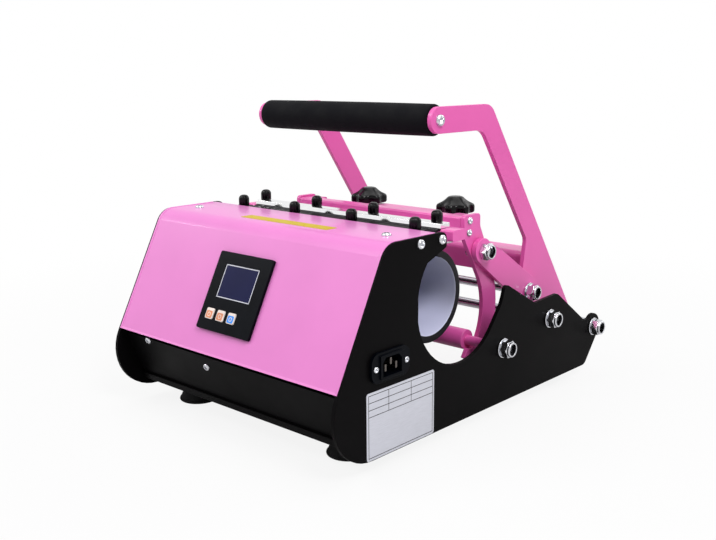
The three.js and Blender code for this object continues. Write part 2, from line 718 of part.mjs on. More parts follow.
function clampCheek() {
  const rearY = cheek.frontY + cheek.topDepth;
  const inner = { y: cheek.y, z: cheek.z, radius: cheek.innerRadius };
  const outer = { y: cheek.y, z: cheek.z, radius: cheek.outerRadius };
  const lobe = { ...pin.link, radius: cheek.lobeRadius };
  const hook = { ...pin.clamp, radius: cheek.hookRadius };
  // The inner arc runs on into the hollow of the hook, which it touches on the line of centres
  const toPivot = Math.atan2(pin.clamp.z - cheek.z, pin.clamp.y - cheek.y);
  const hollow = cheek.innerRadius - Math.hypot(pin.clamp.z - cheek.z, pin.clamp.y - cheek.y);
  const bandLow = {
    y: cheek.y + cheek.outerRadius * Math.cos(cheek.bandLow),
    z: cheek.z + cheek.outerRadius * Math.sin(cheek.bandLow),
  };
  const lobeFoot = {
    y: lobe.y + lobe.radius * Math.cos(cheek.lobeLow),
    z: lobe.z + lobe.radius * Math.sin(cheek.lobeLow),
  };
  const outline = roundedPoints([
    { ...outer, from: cheek.bandLow, to: tangentTurn(lobeFoot, outer, -1) },
    { ...lobe, from: cheek.lobeLow, to: tangentTurn({ y: rearY, z: cheek.shoulderZ }, lobe, -1) },
    [rearY, cheek.shoulderZ, cheek.shoulderRound],
    [rearY, cheek.topZ, cheek.topRadius],
    [cheek.frontY, cheek.topZ, cheek.topRadius],
    [cheek.frontY, cheek.frontZ, cheek.frontRound],
    { ...inner, from: tangentTurn({ y: cheek.frontY, z: cheek.frontZ }, inner, -1), to: toPivot },
    { ...pin.clamp, radius: hollow, from: toPivot, to: cheek.toeTurn - FULL_TURN },
    { ...hook, from: cheek.toeTurn, to: tangentTurn(bandLow, hook, -1) + FULL_TURN },
  ]);
  const hole = rodAcross(pin.link.y, pin.link.z, bolt.radius + fit.bore,
    layerInner - fit.overrun, layerOuter + fit.overrun);
  return cut(extrudeAcross(outline, layerInner, layerOuter), hole);
}

placePair('clamp_cheek', clampCheek(), finish.pinkSteel);

const barHalf = layerInner - fit.seat;

// An angle with a solid block at each end for the cheek's screws, and the star knobs' shelf
function topBar() {
  const { front, top, height, depth, round, wall, flange, blockLength } = clampBar;
  const bottom = top - height;
  const rear = front + depth;
  const angle = roundedPoints([
    [front, bottom], [front + wall, bottom], [front + wall, top - wall],
    [front + flange, top - wall], [front + flange, top], [front, top, round],
  ]);
  const block = roundedPoints([
    [front, bottom], [rear, bottom, round], [rear, top, round], [front, top, round],
  ]);
  const length = shelf.rear - front - wall;
  const ledge = roundedSlab(2 * shelf.halfWidth, 2 * length, shelf.corner, shelf.thickness);
  ledge.translate(0, front + wall, shelf.top - shelf.thickness);
  const rearHalf = cut(ledge, box(-layerInner, layerInner, front - fit.overrun - length,
    front + wall / 2, shelf.top - 2 * shelf.thickness, top));
  const holes = [-1, 1].map((side) => uprightHole(side * starKnob.x, starKnob.y,
    starKnob.studRadius + fit.bore, shelf.top - shelf.thickness, shelf.top));
  const bar = joined(extrudeAcross(angle, -barHalf, barHalf),
    extrudeAcross(block, -barHalf, blockLength - barHalf),
    extrudeAcross(block, barHalf - blockLength, barHalf));
  return cut(bar.add(rearHalf), ...holes);
}

place('clamp_top_bar', topBar(), finish.pinkSteel);

const tube = cut(rodAcross(pin.clamp.y, pin.clamp.z, pivotTube.radius, -barHalf, barHalf, facets.round),
  rodAcross(pin.clamp.y, pin.clamp.z, bolt.radius + fit.bore, -barHalf - fit.overrun, barHalf + fit.overrun));
place('clamp_pivot_tube', tube, finish.pinkSteel);

// Pad under the rear flap; its raised ends stand past the flap and the strip
const padHalfLength = strip.halfLength + fit.seat + rearClamp.tab;

function rearPad() {
  const front = rearClamp.y + rearClamp.padShift - rearClamp.padDepth / 2;
  const rear = front + rearClamp.padDepth;
  const bottom = padTop - rearClamp.padHeight;
  const section = roundedPoints([
    [front, bottom, strip.corner], [rear, bottom, strip.corner],
    [rear, padTop], [front, padTop],
  ]);
  const tab = roundedPoints([
    [front, bottom, strip.corner], [rear, bottom, strip.corner],
    [rear, rearFlapTop, strip.corner], [front, rearFlapTop, strip.corner],
  ]);
  const tabFrom = strip.halfLength + fit.seat;
  const holes = knobPlaces().map((x) => uprightHole(x, rearClamp.y, screwKnob.shankRadius + fit.bore,
    bottom, padTop));
  return cut(joined(extrudeAcross(section, -padHalfLength, padHalfLength),
    extrudeAcross(tab, tabFrom, padHalfLength), extrudeAcross(tab, -padHalfLength, -tabFrom)), ...holes);
}

place('rear_clamp_pad', rearPad(), finish.pinkSteel);

// Sheet that carries the rear pad: it runs under the bar and up to the star knobs' shelf
function padCarrier() {
  const front = padTop - rearClamp.padHeight - fit.seat;
  const low = clampBar.top - clampBar.height - fit.seat;
  const high = shelf.top - shelf.thickness - fit.seat;
  const rear = clampBar.front + clampBar.depth;
  const halfWidth = layerInner - carrier.setIn;
  const section = sheetPoints([
    [shelf.rear, high],
    [rear + carrier.drop + carrier.bend, high],
    [rear + carrier.bend, low],
    [carrier.dropEnd, low],
    [carrier.dropStart, front],
    [rearClamp.y + rearClamp.padShift - rearClamp.padDepth / 2, front],
  ], carrier.thickness, carrier.bend);
  const holes = knobPlaces().map((x) => uprightHole(x, rearClamp.y, screwKnob.shankRadius + fit.bore,
    front - carrier.thickness, front));
  const slots = [-1, 1].map((side) => {
    const slot = roundedSlab(2 * (starKnob.studRadius + fit.bore), carrier.slotLength, starKnob.studRadius,
      2 * fit.overrun + carrier.thickness);
    return slot.translate(side * starKnob.x, starKnob.y, high - carrier.thickness - fit.overrun);
  });
  const sides = [-1, 1].map((side) => {
    const edge = side * (carrier.tailHalfWidth + halfWidth + fit.overrun) / 2;
    const reach = (halfWidth + fit.overrun - carrier.tailHalfWidth) / 2;
    return box(edge - reach, edge + reach, clampBar.front + clampBar.wall, shelf.rear + fit.overrun,
      low - fit.overrun, high + fit.overrun);
  });
  return cut(extrudeAcross(section, -halfWidth, halfWidth), ...holes, ...slots, ...sides);
}

place('pad_carrier', padCarrier(), finish.brightSteel);
place('rear_clamp_strip', clampStrip(rearClamp), finish.brightSteel);
knobPlaces().forEach((x, i) => {
  place(`rear_clamp_screw_${i + 1}`, clampScrew(), finish.blackPlastic)
    .position.set(x, rearClamp.y, rearClamp.top);
});

// Star knob with its stud, standing on the shelf
function starKnobBody() {
  const { radius, lobes, lobeDepth, lobeSteps, skirt, height, flankShares } = starKnob;
  const { washer, washerRadius } = starKnob;
  const rim = [];
  const steps = lobes * lobeSteps;
  for (let i = 0; i < steps; i += 1) {
    const turn = FULL_TURN * i / steps;
    const r = radius - lobeDepth * (1 - Math.cos(lobes * turn)) / 2;
    rim.push(new THREE.Vector2(r * Math.cos(turn), r * Math.sin(turn)));
  }
  const lobedBlock = new THREE.ExtrudeGeometry(new THREE.Shape(rim), {
    depth: height, bevelEnabled: false, steps: 1,
  });
  const flank = flankShares.map(([up, out]) => [height * up, radius * out]);
  const crown = turnedUpright([[0, 0], [0, radius - skirt / 2], [skirt, radius], ...flank, [height, 0]],
    facets.round);
  const knob = solid(lobedBlock).intersect(solid(crown)).translate(0, 0, washer);
  const seatTop = washer + fit.seat;
  const seat = turnedUpright([[0, 0], [0, washerRadius], [seatTop, washerRadius], [seatTop, 0]],
    facets.small);
  const { studRadius, stud: studLength } = starKnob;
  const stud = new THREE.CylinderGeometry(studRadius, studRadius, studLength, facets.small)
    .rotateX(Math.PI / 2).translate(0, 0, fit.overrun - studLength / 2);
  return joined(knob, seat, stud);
}

[['star_knob_right', 1], ['star_knob_left', -1]].forEach(([name, side]) => {
  place(name, starKnobBody(), finish.blackPlastic)
    .position.set(side * starKnob.x, starKnob.y, shelf.top + fit.seat);
});

// Links and their pins

function linkPlate() {
  const axis = Math.atan2(pin.arm.z - pin.link.z, pin.arm.y - pin.link.y);
  const length = Math.hypot(pin.arm.y - pin.link.y, pin.arm.z - pin.link.z);
  const spread = Math.asin((link.footRadius - link.eyeRadius) / length);
  const under = axis - Math.PI / 2 - spread;
  const toShoulder = Math.atan2(link.shoulderZ - pin.link.z, link.shoulderY - pin.link.y);
  const reach = Math.hypot(link.shoulderZ - pin.link.z, link.shoulderY - pin.link.y);
  const over = toShoulder + Math.acos(link.eyeRadius / reach);
  const fromShoulder = Math.atan2(link.shoulderZ - pin.arm.z, link.shoulderY - pin.arm.y);
  const footReach = Math.hypot(link.shoulderZ - pin.arm.z, link.shoulderY - pin.arm.y);
  const footOver = fromShoulder - Math.acos(link.footRadius / footReach);
  const outline = roundedPoints([
    { ...pin.link, radius: link.eyeRadius, from: over, to: under + FULL_TURN },
    { ...pin.arm, radius: link.footRadius, from: under, to: footOver },
    [link.shoulderY, link.shoulderZ, link.footRadius],
  ]);
  const slotRadius = bolt.radius + fit.bore + link.sideSlack;
  const slotOutline = [
    ...arcPoints({ y: link.slack, z: 0, radius: slotRadius, from: -Math.PI / 2, to: Math.PI / 2 }),
    ...arcPoints({ y: 0, z: 0, radius: slotRadius, from: Math.PI / 2, to: Math.PI * 1.5 }),
  ].map((point) => point.rotateAround(new THREE.Vector2(), axis).add(new THREE.Vector2(pin.link.y, pin.link.z)));
  const slot = extrudeAcross(slotOutline, linkInner - fit.overrun, linkOuter + fit.overrun);
  const hole = rodAcross(pin.arm.y, pin.arm.z, bolt.radius + fit.bore,
    linkInner - fit.overrun, linkOuter + fit.overrun);
  return cut(extrudeAcross(outline, linkInner, linkOuter), slot, hole);
}

placePair('link_plate', linkPlate(), finish.pinkSteel);

const linkSeat = linkOuter + fit.seat;
const rodEnd = linkSeat + nutReach;
place('link_rod', rodAcross(pin.arm.y, pin.arm.z, bolt.radius, -rodEnd, rodEnd), finish.brightSteel);
placePair('link_rod_nut', lockNut(pin.arm, linkSeat), finish.brightSteel);

// The bolt through a clamp cheek; its head lies inside the cheek
const boltHead = { radius: 8, height: 5.5 };
const linkBolt = turnedAcross(pin.link.y, pin.link.z, [
  [layerInner - fit.seat - boltHead.height, 0],
  [layerInner - fit.seat - boltHead.height, boltHead.radius],
  [layerInner - fit.seat, boltHead.radius],
  [layerInner - fit.seat, bolt.radius],
  [rodEnd, bolt.radius],
  [rodEnd, 0],
]);
placePair('link_bolt', linkBolt, finish.brightSteel);
placePair('link_bolt_nut', lockNut(pin.link, linkSeat, widenedWasherRadius), finish.brightSteel);

// Handle

const gripEnd = layerInner - fit.seat;
const stopGap = Math.hypot(pin.arm.y - pin.stop.y, pin.arm.z - pin.stop.z) - bolt.radius - fit.seat;

function handleArm() {
  const halfWidth = handle.armWidth / 2;
  const upper = handle.grip.z + halfWidth;
  const lower = handle.grip.z - halfWidth;
  const run = 1 / Math.tan(handle.lean);
  const rearY = (z) => handle.elbowY + (upper - z) * run;
  const frontY = (z) => rearY(z) - handle.armWidth / Math.sin(handle.lean);
  const waistY = frontY(handle.waistZ);
  const throat = Math.tan(handle.throatLean);
  const hubTop = pin.arm.z + stopGap * handle.hubShare;
  const eyeRadius = (handle.elbowY + (upper - pin.handle.z) * run - pin.handle.y) * Math.sin(handle.lean);
  const backTurn = Math.PI / 2 - handle.lean;
  const span = Math.hypot(pin.handle.y - pin.arm.y, pin.handle.z - pin.arm.z);
  const under = Math.atan2(pin.handle.z - pin.arm.z, pin.handle.y - pin.arm.y) - Math.PI / 2
    - Math.asin((eyeRadius - stopGap) / span);
  const outline = roundedPoints([
    { ...handle.grip, radius: halfWidth, from: Math.PI / 2, to: Math.PI * 1.5 },
    [frontY(lower), lower, handle.elbowInside],
    [waistY, handle.waistZ, handle.waistRadius],
    [waistY - (handle.waistZ - hubTop) * throat, hubTop],
    { ...pin.arm, radius: stopGap, from: handle.hubTurn, to: under + FULL_TURN },
    { ...pin.handle, radius: eyeRadius, from: under, to: backTurn },
    [rearY(upper), upper, handle.elbowInside],
  ]);
  const holes = [pin.arm, pin.handle].map(({ y, z }) => rodAcross(y, z, bolt.radius + fit.bore,
    layerInner - fit.overrun, layerOuter + fit.overrun));
  const screwHole = rodAcross(handle.grip.y, handle.grip.z, handle.screwRadius + fit.bore,
    layerInner - fit.overrun, layerOuter + fit.overrun);
  return cut(extrudeAcross(outline, layerInner, layerOuter), ...holes, screwHole);
}

placePair('handle_arm', handleArm(), finish.pinkSteel);

const { y: gripY, z: gripZ } = handle.grip;
const gripCore = cut(rodAcross(gripY, gripZ, handle.coreRadius, -gripEnd, gripEnd, facets.round),
  rodAcross(gripY, gripZ, handle.screwRadius + fit.bore, gripEnd - handle.screwLength, gripEnd + fit.overrun),
  rodAcross(gripY, gripZ, handle.screwRadius + fit.bore, -gripEnd - fit.overrun, handle.screwLength - gripEnd));
place('grip_core', gripCore, finish.brightSteel);

const foamEnd = gripEnd - fit.seat;
const gripSleeve = turnedAcross(gripY, gripZ, [
  [-foamEnd, handle.coreRadius + fit.bore],
  [-foamEnd, handle.gripRadius - handle.gripRound],
  [handle.gripRound - foamEnd, handle.gripRadius],
  [foamEnd - handle.gripRound, handle.gripRadius],
  [foamEnd, handle.gripRadius - handle.gripRound],
  [foamEnd, handle.coreRadius + fit.bore],
  [-foamEnd, handle.coreRadius + fit.bore],
], facets.round);
place('foam_grip', gripSleeve, finish.foam);

const gripScrew = turnedAcross(gripY, gripZ, [
  [gripEnd - handle.screwLength + fit.overrun, 0],
  [gripEnd - handle.screwLength + fit.overrun, handle.screwRadius],
  [layerOuter + fit.seat, handle.screwRadius],
  [layerOuter + fit.seat, handle.screwHeadRadius],
  [layerOuter + fit.seat + handle.screwHead / 2, handle.screwHeadRadius],
  [layerOuter + fit.seat + handle.screwHead, handle.screwHeadRadius / 2],
  [layerOuter + fit.seat + handle.screwHead, 0],
]);
placePair('grip_screw', gripScrew, finish.brightSteel);

const braceSection = sheetPoints([
  [brace.frontY + brace.depth, brace.topZ],
  [brace.frontY, brace.topZ],
  [brace.frontY, brace.topZ - brace.height],
], brace.thickness, brace.bend);
place('handle_brace', extrudeAcross(braceSection, -gripEnd, gripEnd), finish.pinkSteel);

// Set the press on the floor, its middle over the origin
const bounds = new THREE.Box3().setFromObject(press);
press.position.set(0, -(bounds.min.y + bounds.max.y) / 2, foot.drop);

export default press;
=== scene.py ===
"""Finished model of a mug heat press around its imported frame.

Lengths are in metres, +Z is up, the control panel faces -Y and the power inlet is on +X.
Each operator dresses one piece or one group of like pieces.
"""

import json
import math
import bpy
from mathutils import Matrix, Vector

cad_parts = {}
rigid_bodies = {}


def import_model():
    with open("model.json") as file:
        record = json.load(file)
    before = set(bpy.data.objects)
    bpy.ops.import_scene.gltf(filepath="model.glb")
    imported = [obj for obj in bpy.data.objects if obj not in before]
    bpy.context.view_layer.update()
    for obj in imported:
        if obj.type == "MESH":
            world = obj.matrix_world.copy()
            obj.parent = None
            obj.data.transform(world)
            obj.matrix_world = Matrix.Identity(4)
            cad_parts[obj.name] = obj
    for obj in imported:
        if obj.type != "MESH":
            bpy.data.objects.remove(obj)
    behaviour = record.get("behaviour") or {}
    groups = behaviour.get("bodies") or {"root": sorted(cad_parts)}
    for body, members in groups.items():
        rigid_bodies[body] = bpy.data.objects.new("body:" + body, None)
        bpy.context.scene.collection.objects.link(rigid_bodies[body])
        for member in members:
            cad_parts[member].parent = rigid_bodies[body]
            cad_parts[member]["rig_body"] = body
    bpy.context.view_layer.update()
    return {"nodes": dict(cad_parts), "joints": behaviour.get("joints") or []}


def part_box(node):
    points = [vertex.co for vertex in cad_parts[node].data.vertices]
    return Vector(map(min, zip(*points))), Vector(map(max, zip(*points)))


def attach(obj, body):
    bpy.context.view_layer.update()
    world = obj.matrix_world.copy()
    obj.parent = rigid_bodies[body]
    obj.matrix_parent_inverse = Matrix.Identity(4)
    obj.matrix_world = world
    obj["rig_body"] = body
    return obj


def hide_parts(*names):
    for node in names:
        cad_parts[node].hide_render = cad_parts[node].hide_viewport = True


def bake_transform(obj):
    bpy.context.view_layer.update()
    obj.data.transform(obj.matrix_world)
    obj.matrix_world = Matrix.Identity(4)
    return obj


bl_info = {
    "name": "Mug Heat Press",
    "version": (1, 0, 0),
    "blender": (4, 5, 0),
    "location": "3D View > Sidebar > Mug Press",
    "description": "Dresses the frame of a mug heat press with its paint, metal, rubber and controls",
    "category": "Object",
}

import bmesh
import bpy
import numpy as np
from bpy.props import FloatProperty, FloatVectorProperty, PointerProperty
from mathutils import Matrix, Vector

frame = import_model()
MM = 0.001
SIDES = (("right", 1), ("left", -1))
TURN = 2 * math.pi
QUARTER = math.pi / 2
CREASE = 32
X, Y, Z = np.eye(3)

# The pan's front leans in towards the floor: (y, z) of its outward normal and of its rise.
PAN_OUT = np.array((-0.9284, -0.3714))
PAN_RISE = np.array((-0.3714, 0.9284))
PAN_TOE = 22 * MM

# The record's slot for each finish; the rating plate, the yellow strip and the keys' bodies have none.
SLOTS = {
    "cover": "pink_cover", "steel": "pink_steel", "black": "black_steel", "plastic": "black_plastic",
    "panel": "black_plastic", "zinc": "bright_steel", "rod": "bright_steel", "blade": "bright_steel",
    "polished": "bright_steel", "spring_sheet": "bright_steel", "foam": "foam", "mat": "silicone",
    "rubber": "rubber", "screen": "screen", "print": "screen", "key_warm": "orange_plastic",
    "key_cool": "blue_plastic",
}


def linear(code):
    """Linear colour of an sRGB hex value."""
    shares = [int(code[i:i + 2], 16) / 255 for i in (1, 3, 5)]
    return tuple(s / 12.92 if s <= 0.04045 else ((s + 0.055) / 1.055) ** 2.4 for s in shares)


def colour_property(name, description, code):
    """A colour that a user can change; its default is an sRGB hex value."""
    return FloatVectorProperty(name=name, description=description, subtype="COLOR", size=3,
                               min=0, max=1, default=linear(code))


def length_property(name, description, millimetres):
    """A length that a user can change, in metres with a default in millimetres."""
    return FloatProperty(name=name, description=description, unit="LENGTH", default=millimetres * MM)


class PressSizes(bpy.types.PropertyGroup):
    """Sizes of the fine work that the frame doesn't give."""

    sheet_edge: length_property("Sheet edge", "Rounding on the edges of the painted sheet metal", 0.5)
    moulded_edge: length_property("Moulded edge", "Rounding on the edges of moulded plastic", 0.6)
    plate_rim: length_property("Plate rim", "Easing round the outer face of a side plate", 2.4)
    brow_radius: length_property("Brow radius", "Bend of the cover where its panel meets its top", 20)
    flare_height: length_property("Flare height", "Height of the flare along the cover's lower edge", 2.4)
    flare_depth: length_property("Flare depth", "How far the flare stands out at its foot", 0.8)
    hem_width: length_property("Hem width", "How far the cover's side hem laps over a side plate", 1.7)
    screw_head: length_property("Screw head", "Radius of a button-head screw", 4.6)
    screw_rise: length_property("Screw rise", "Height of a button-head screw", 2.6)
    screw_socket: length_property("Screw socket", "Width across the flats of a screw's hex socket", 4.2)
    plate_screw_setback: length_property("Plate screw setback", "From the nose to the first top screw", 111)
    plate_screw_pitch: length_property("Plate screw pitch", "Between a side plate's two top screws", 30.3)
    plate_screw_drop: length_property("Plate screw drop", "From the top edge to the top screws", 6.6)
    cover_screw_setback: length_property("Cover screw setback", "From the nose to the cover's top screws", 97)
    cover_screw_inset: length_property("Cover screw inset", "From the cover's end to its top screws", 23)
    label_length: length_property("Label length", "Length of the rating plate", 92)
    label_height: length_property("Label height", "Height of the rating plate", 61.7)
    label_setback: length_property("Label setback", "From the nose to the middle of the rating plate", 85.3)
    label_rise: length_property("Label rise", "From the lower edge to the middle of the rating plate", 31.8)
    strip_length: length_property("Strip length", "Length of the yellow strip", 122)
    strip_depth: length_property("Strip depth", "Depth of the yellow strip", 15)
    strip_setback: length_property("Strip setback", "From the nose to the middle of the yellow strip", 91)
    strip_shift: length_property("Strip shift", "From the middle of the press to the middle of the strip", 11)
    lip_height: length_property("Lip height", "Height of the lip along the pan's lower edge", 8.5)
    lip_depth: length_property("Lip depth", "How far that lip stands out", 3)
    nut_flats: length_property("Nut flats", "Width across the flats of a lock nut", 16)
    nut_collar: length_property("Nut collar", "Radius of the collar on a lock nut", 7.6)
    nut_hollow: length_property("Nut hollow", "Radius of the hollow in that collar", 5.7)


class PressColours(bpy.types.PropertyGroup):
    """Colours of the press."""

    cover: colour_property("Cover", "Paint of the control box", "#E182C8")
    steel: colour_property("Frame paint", "Paint of the handle, links and clamp frame", "#E85EB1")
    black: colour_property("Black paint", "Paint of the side plates and base pan", "#070607")
    plastic: colour_property("Black plastic", "Moulded knobs", "#050507")
    panel: colour_property("Panel", "Controller's face and inlet", "#04060C")
    screen: colour_property("Screen", "Dark display", "#14173E")
    zinc: colour_property("Zinc", "Plated steel", "#D9DADF")
    foam: colour_property("Foam", "Grip sleeve", "#07070B")
    lining: colour_property("Lining", "Inside of the heating mat", "#D6D8F2")
    mat: colour_property("Mat", "Outside of the heating mat", "#141217")
    rubber: colour_property("Rubber", "Feet", "#0E0E0F")
    key_warm: colour_property("Warm key", "Print of the two setting keys", "#D4845C")
    key_cool: colour_property("Cool key", "Print of the start key", "#2F8BEA")
    key_body: colour_property("Key", "Moulded body of the keys", "#E9DAD3")
    label: colour_property("Label", "Rating plate", "#D2D3DD")
    strip: colour_property("Strip", "Vinyl strip on the cover", "#C4AC16")
    # The blades' colour is nickel's grey darkened by painted shade of the inlet's recess.
    blade: colour_property("Blades", "Nickel-plated contacts of the inlet", "#6E6864")
    polish: colour_property("Polish", "Polished stainless strip", "#FAFAFC")
    floor: colour_property("Floor", "Studio floor", "#DADADA")


# Meshes from numpy surfaces


def extent(node):
    """Low corner, high corner and middle of a CAD node's box, as arrays."""
    low, high = (np.array(v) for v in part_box(node))
    return low, high, (low + high) / 2


def joint_of(child):
    """The frame's joint that moves a body."""
    return next(joint for joint in frame["joints"] if joint["child"] == child)


def make_piece(name, grids, finish, body, node=None, crease=CREASE, slot=None, kinds=0):
    """One piece from a grid of points, or from a list of them, each closed round its columns.

    finish names its material, or one material for each kind of face. The points that coincide are
    merged, which closes poles and seams. Edges sharper than crease, in degrees, stay sharp.
    """
    points, faces, offset = [], [], 0
    for grid in grids if isinstance(grids, list) else [grids]:
        rows, columns = grid.shape[:2]
        i, j = np.arange(rows - 1)[:, None], np.arange(columns)[None, :]
        across_i, k = i + 1, (j + 1) % columns
        quads = [i * columns + j, i * columns + k, across_i * columns + k, across_i * columns + j]
        faces.append(np.stack(np.broadcast_arrays(*quads), axis=-1).reshape(-1, 4) + offset)
        points.append(grid.reshape(-1, 3))
        offset += len(points[-1])
    mesh = bpy.data.meshes.new(name)
    mesh.from_pydata(np.concatenate(points).tolist(), [], np.concatenate(faces).tolist())
    mesh.polygons.foreach_set("material_index", np.broadcast_to(kinds, len(mesh.polygons)).astype(np.int32))
    return finish_mesh(name, mesh, [finish] if isinstance(finish, str) else finish, body, node, crease, slot)


def finish_mesh(name, mesh, finish, body, node, crease=CREASE, slot=None, copied=False):
    """Joins a mesh's corners, shades it and puts it on its body.

    A mesh copied from the frame has its flats made whole; any other has its faces turned outwards.
    """
    work = bmesh.new()
    work.from_mesh(mesh)
    bmesh.ops.remove_doubles(work, verts=work.verts, dist=0.002 * MM)
    if copied:
        bmesh.ops.dissolve_limit(work, angle_limit=math.radians(0.6), verts=work.verts, edges=work.edges)
    else:
        bmesh.ops.dissolve_degenerate(work, edges=work.edges, dist=0.0001 * MM)
        bmesh.ops.recalc_face_normals(work, faces=work.faces)
    work.to_mesh(mesh)
    work.free()
    mesh.shade_smooth()
    mesh.set_sharp_from_angle(angle=math.radians(crease))
    for key in finish:
        mesh.materials.append(finishes[key])
    piece = bpy.data.objects.new(name, mesh)
    bpy.context.scene.collection.objects.link(piece)
    slot = slot or SLOTS.get(finish[0])
    if body:
        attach(piece, body)
    if node:
        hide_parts(node)
    return piece


def soften(piece, edge):
    """Rounds the edges of a piece that are sharper than the usual crease."""
    bevel = piece.modifiers.new("Edge", "BEVEL")
    bevel.width = edge
    bevel.segments = 3
    bevel.limit_method = "ANGLE"
    bevel.angle_limit = math.radians(CREASE)
    bevel.harden_normals = True
    bevel.use_clamp_overlap = True


def coated(node, finish, edge):
    """The frame's own surface with a finish and rounded edges."""
    source = frame["nodes"][node]
    mesh = source.data.copy()
    mesh.materials.clear()
    piece = finish_mesh(f"{node}_finish", mesh, [finish], source["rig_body"], node, copied=True)
    soften(piece, edge)
    return piece


def turned(rows, centre, axis, sides=64, shape=None):
    """A surface turned about an axis from rows of (along, radius) or (along, radius, share).

    Each row is a ring of that radius; shape(angle, radius, share) may change the radius round it.
    """
    rows = np.array([(*row, 0)[:3] for row in rows], float)
    axis = np.array(axis, float)
    angle = np.arange(sides)[None, :] * TURN / sides
    radius, share = rows[:, 1:2], rows[:, 2:3]
    ring = shape(angle, radius, share) if shape else radius + 0 * angle
    first = np.cross(axis, Z if abs(axis[2]) < 0.9 else Y)
    first /= np.linalg.norm(first)
    second = np.cross(axis, first)
    along = rows[:, 0][:, None, None] * axis
    return (np.array(centre, float) + along + (ring * np.cos(angle))[..., None] * first
            + (ring * np.sin(angle))[..., None] * second)


def hexagon(flats):
    """Shape for turned(): where share is 1 the ring is cut to a hexagon this wide across its flats."""
    def shape(angle, radius, share):
        sector = (angle % (TURN / 6)) - TURN / 12
        return np.where(share > 0.5, np.minimum(radius, flats / 2 / np.cos(sector)), radius + 0 * angle)
    return shape


def waves(depth, count, aim=0.0):
    """Shape for turned(): a cosine with count waves draws the ring in by up to depth times share."""
    def shape(angle, radius, share):
        return radius * (1 - depth * share * (0.5 - 0.5 * np.cos(count * (angle - aim))))
    return shape


def arc_rows(along, radius, size, start, end, steps=5):
    """Rows along a quarter round: centre (along, radius), its size, and the turns in degrees."""
    turns = np.radians(np.linspace(start, end, steps))
    return [(along + size * math.cos(t), radius + size * math.sin(t)) for t in turns]


def rounded_ends(start, end, radius, ease, steps=4, between=()):
    """Rows of a round bar from start to end along its axis, with a quarter round at both ends."""
    return [*arc_rows(start + ease, radius - ease, ease, 180, 90, steps), *between,
            *arc_rows(end - ease, radius - ease, ease, 90, 0, steps)]


def chamfered(end, radius, bevel):
    """Rows of a solid round bar from -end to end along its axis, with both ends chamfered."""
    half = [(end - bevel, radius), (end, radius - bevel), (end, 0)]
    return [(-a, r) for a, r in reversed(half)] + half


def quarters(steps):
    """The four quarters of a rounded rectangle: signs of its corner and the turns round it."""
    turns = np.linspace(0, QUARTER, steps)
    for quarter, signs in enumerate(((1, 1), (-1, 1), (-1, -1), (1, -1))):
        yield *signs, turns + quarter * QUARTER


def slab(centre, along, up, width, height, corner, thickness, edge):
    """A flat piece with rounded corners and edges on the plane of along and up.

    Rings of its outline, a rectangle with round corners, step in round the top edge and close on
    the middle.
    """
    out = np.cross(along, up)
    turns = np.linspace(0, QUARTER, 5)
    rings = [(0, 0)] + [(edge * (1 - math.cos(t)), thickness - edge * (1 - math.sin(t))) for t in turns]
    grid = []
    for inset, lift in rings:
        half_width, half_height, round_off = width / 2 - inset, height / 2 - inset, max(corner - inset, corner * 0.2)
        outline = np.concatenate([np.stack([su * (half_width - round_off) + round_off * np.cos(turn),
                                            sv * (half_height - round_off) + round_off * np.sin(turn)], axis=-1)
                                  for su, sv, turn in quarters(6)])
        grid.append(centre + outline[:, :1] * along + outline[:, 1:] * up + lift * out)
    top = centre + thickness * out
    inner = top + (grid[-1] - centre - thickness * out) * 0.86
    return np.stack([np.broadcast_to(centre, inner.shape), *grid, inner, np.broadcast_to(top, inner.shape)])


def flat_bars(name, bars, centre, along, up, corner, thickness, edge, finish):
    """Printed lines as one piece of thin slabs; each bar is ((u, v) of its middle, width, height)."""
    grids = [slab(centre + along * u + up * v, along, up, width, height, corner, thickness, edge)
             for (u, v), width, height in bars]
    make_piece(name, grids, finish, "frame")


def bar_across(profile, half_length):
    """A straight bar along X whose section is a closed outline of (y, z) points, closed at both ends."""
    profile = np.array(profile, float)
    stations = np.array([-1, -1, 1, 1], float)[:, None] * half_length
    spread = np.array([0, 1, 1, 0], float)[:, None, None]
    outline = profile.mean(axis=0) + spread * (profile - profile.mean(axis=0))
    return np.concatenate([np.broadcast_to(stations, outline.shape[:2])[..., None], outline], axis=-1)


def strip_along(path, normals, half_length, half_thickness, round_off):
    """A thick sheet that follows a path in the side view: a rounded bar section carried along it.

    path and normals are (y, z) rows, half_thickness has one value a row. The section's corners
    have the radius round_off, and both ends close on their middle line.
    """
    section = np.concatenate([np.stack([sx * (half_length - round_off) + round_off * np.cos(turn),
                                        sn + 0 * turn, round_off * (np.sin(turn) - sn)], axis=-1)
                              for sx, sn, turn in quarters(4)])
    offset = half_thickness[:, None] * section[None, :, 1] + section[None, :, 2]
    x = np.broadcast_to(section[None, :, 0], offset.shape)
    y, z = (path[:, k:k + 1] + normals[:, k:k + 1] * offset for k in (0, 1))
    grid = np.stack([x, y, z], axis=-1)
    first, last = (np.broadcast_to(np.array([0.0, *path[k]]), grid[:1].shape) for k in (0, -1))
    return np.concatenate([first, grid, last])


# Materials


def add(tree, kind, values=None, **settings):
    """Adds a node: settings are its properties, values its inputs, each a value or an output to link."""
    made = tree.nodes.new(kind)
    for key, value in settings.items():
        setattr(made, key, value)
    for key, value in (values or {}).items():
        if isinstance(value, bpy.types.NodeSocket):
            tree.links.new(value, made.inputs[key])
        else:
            made.inputs[key].default_value = value
    return made


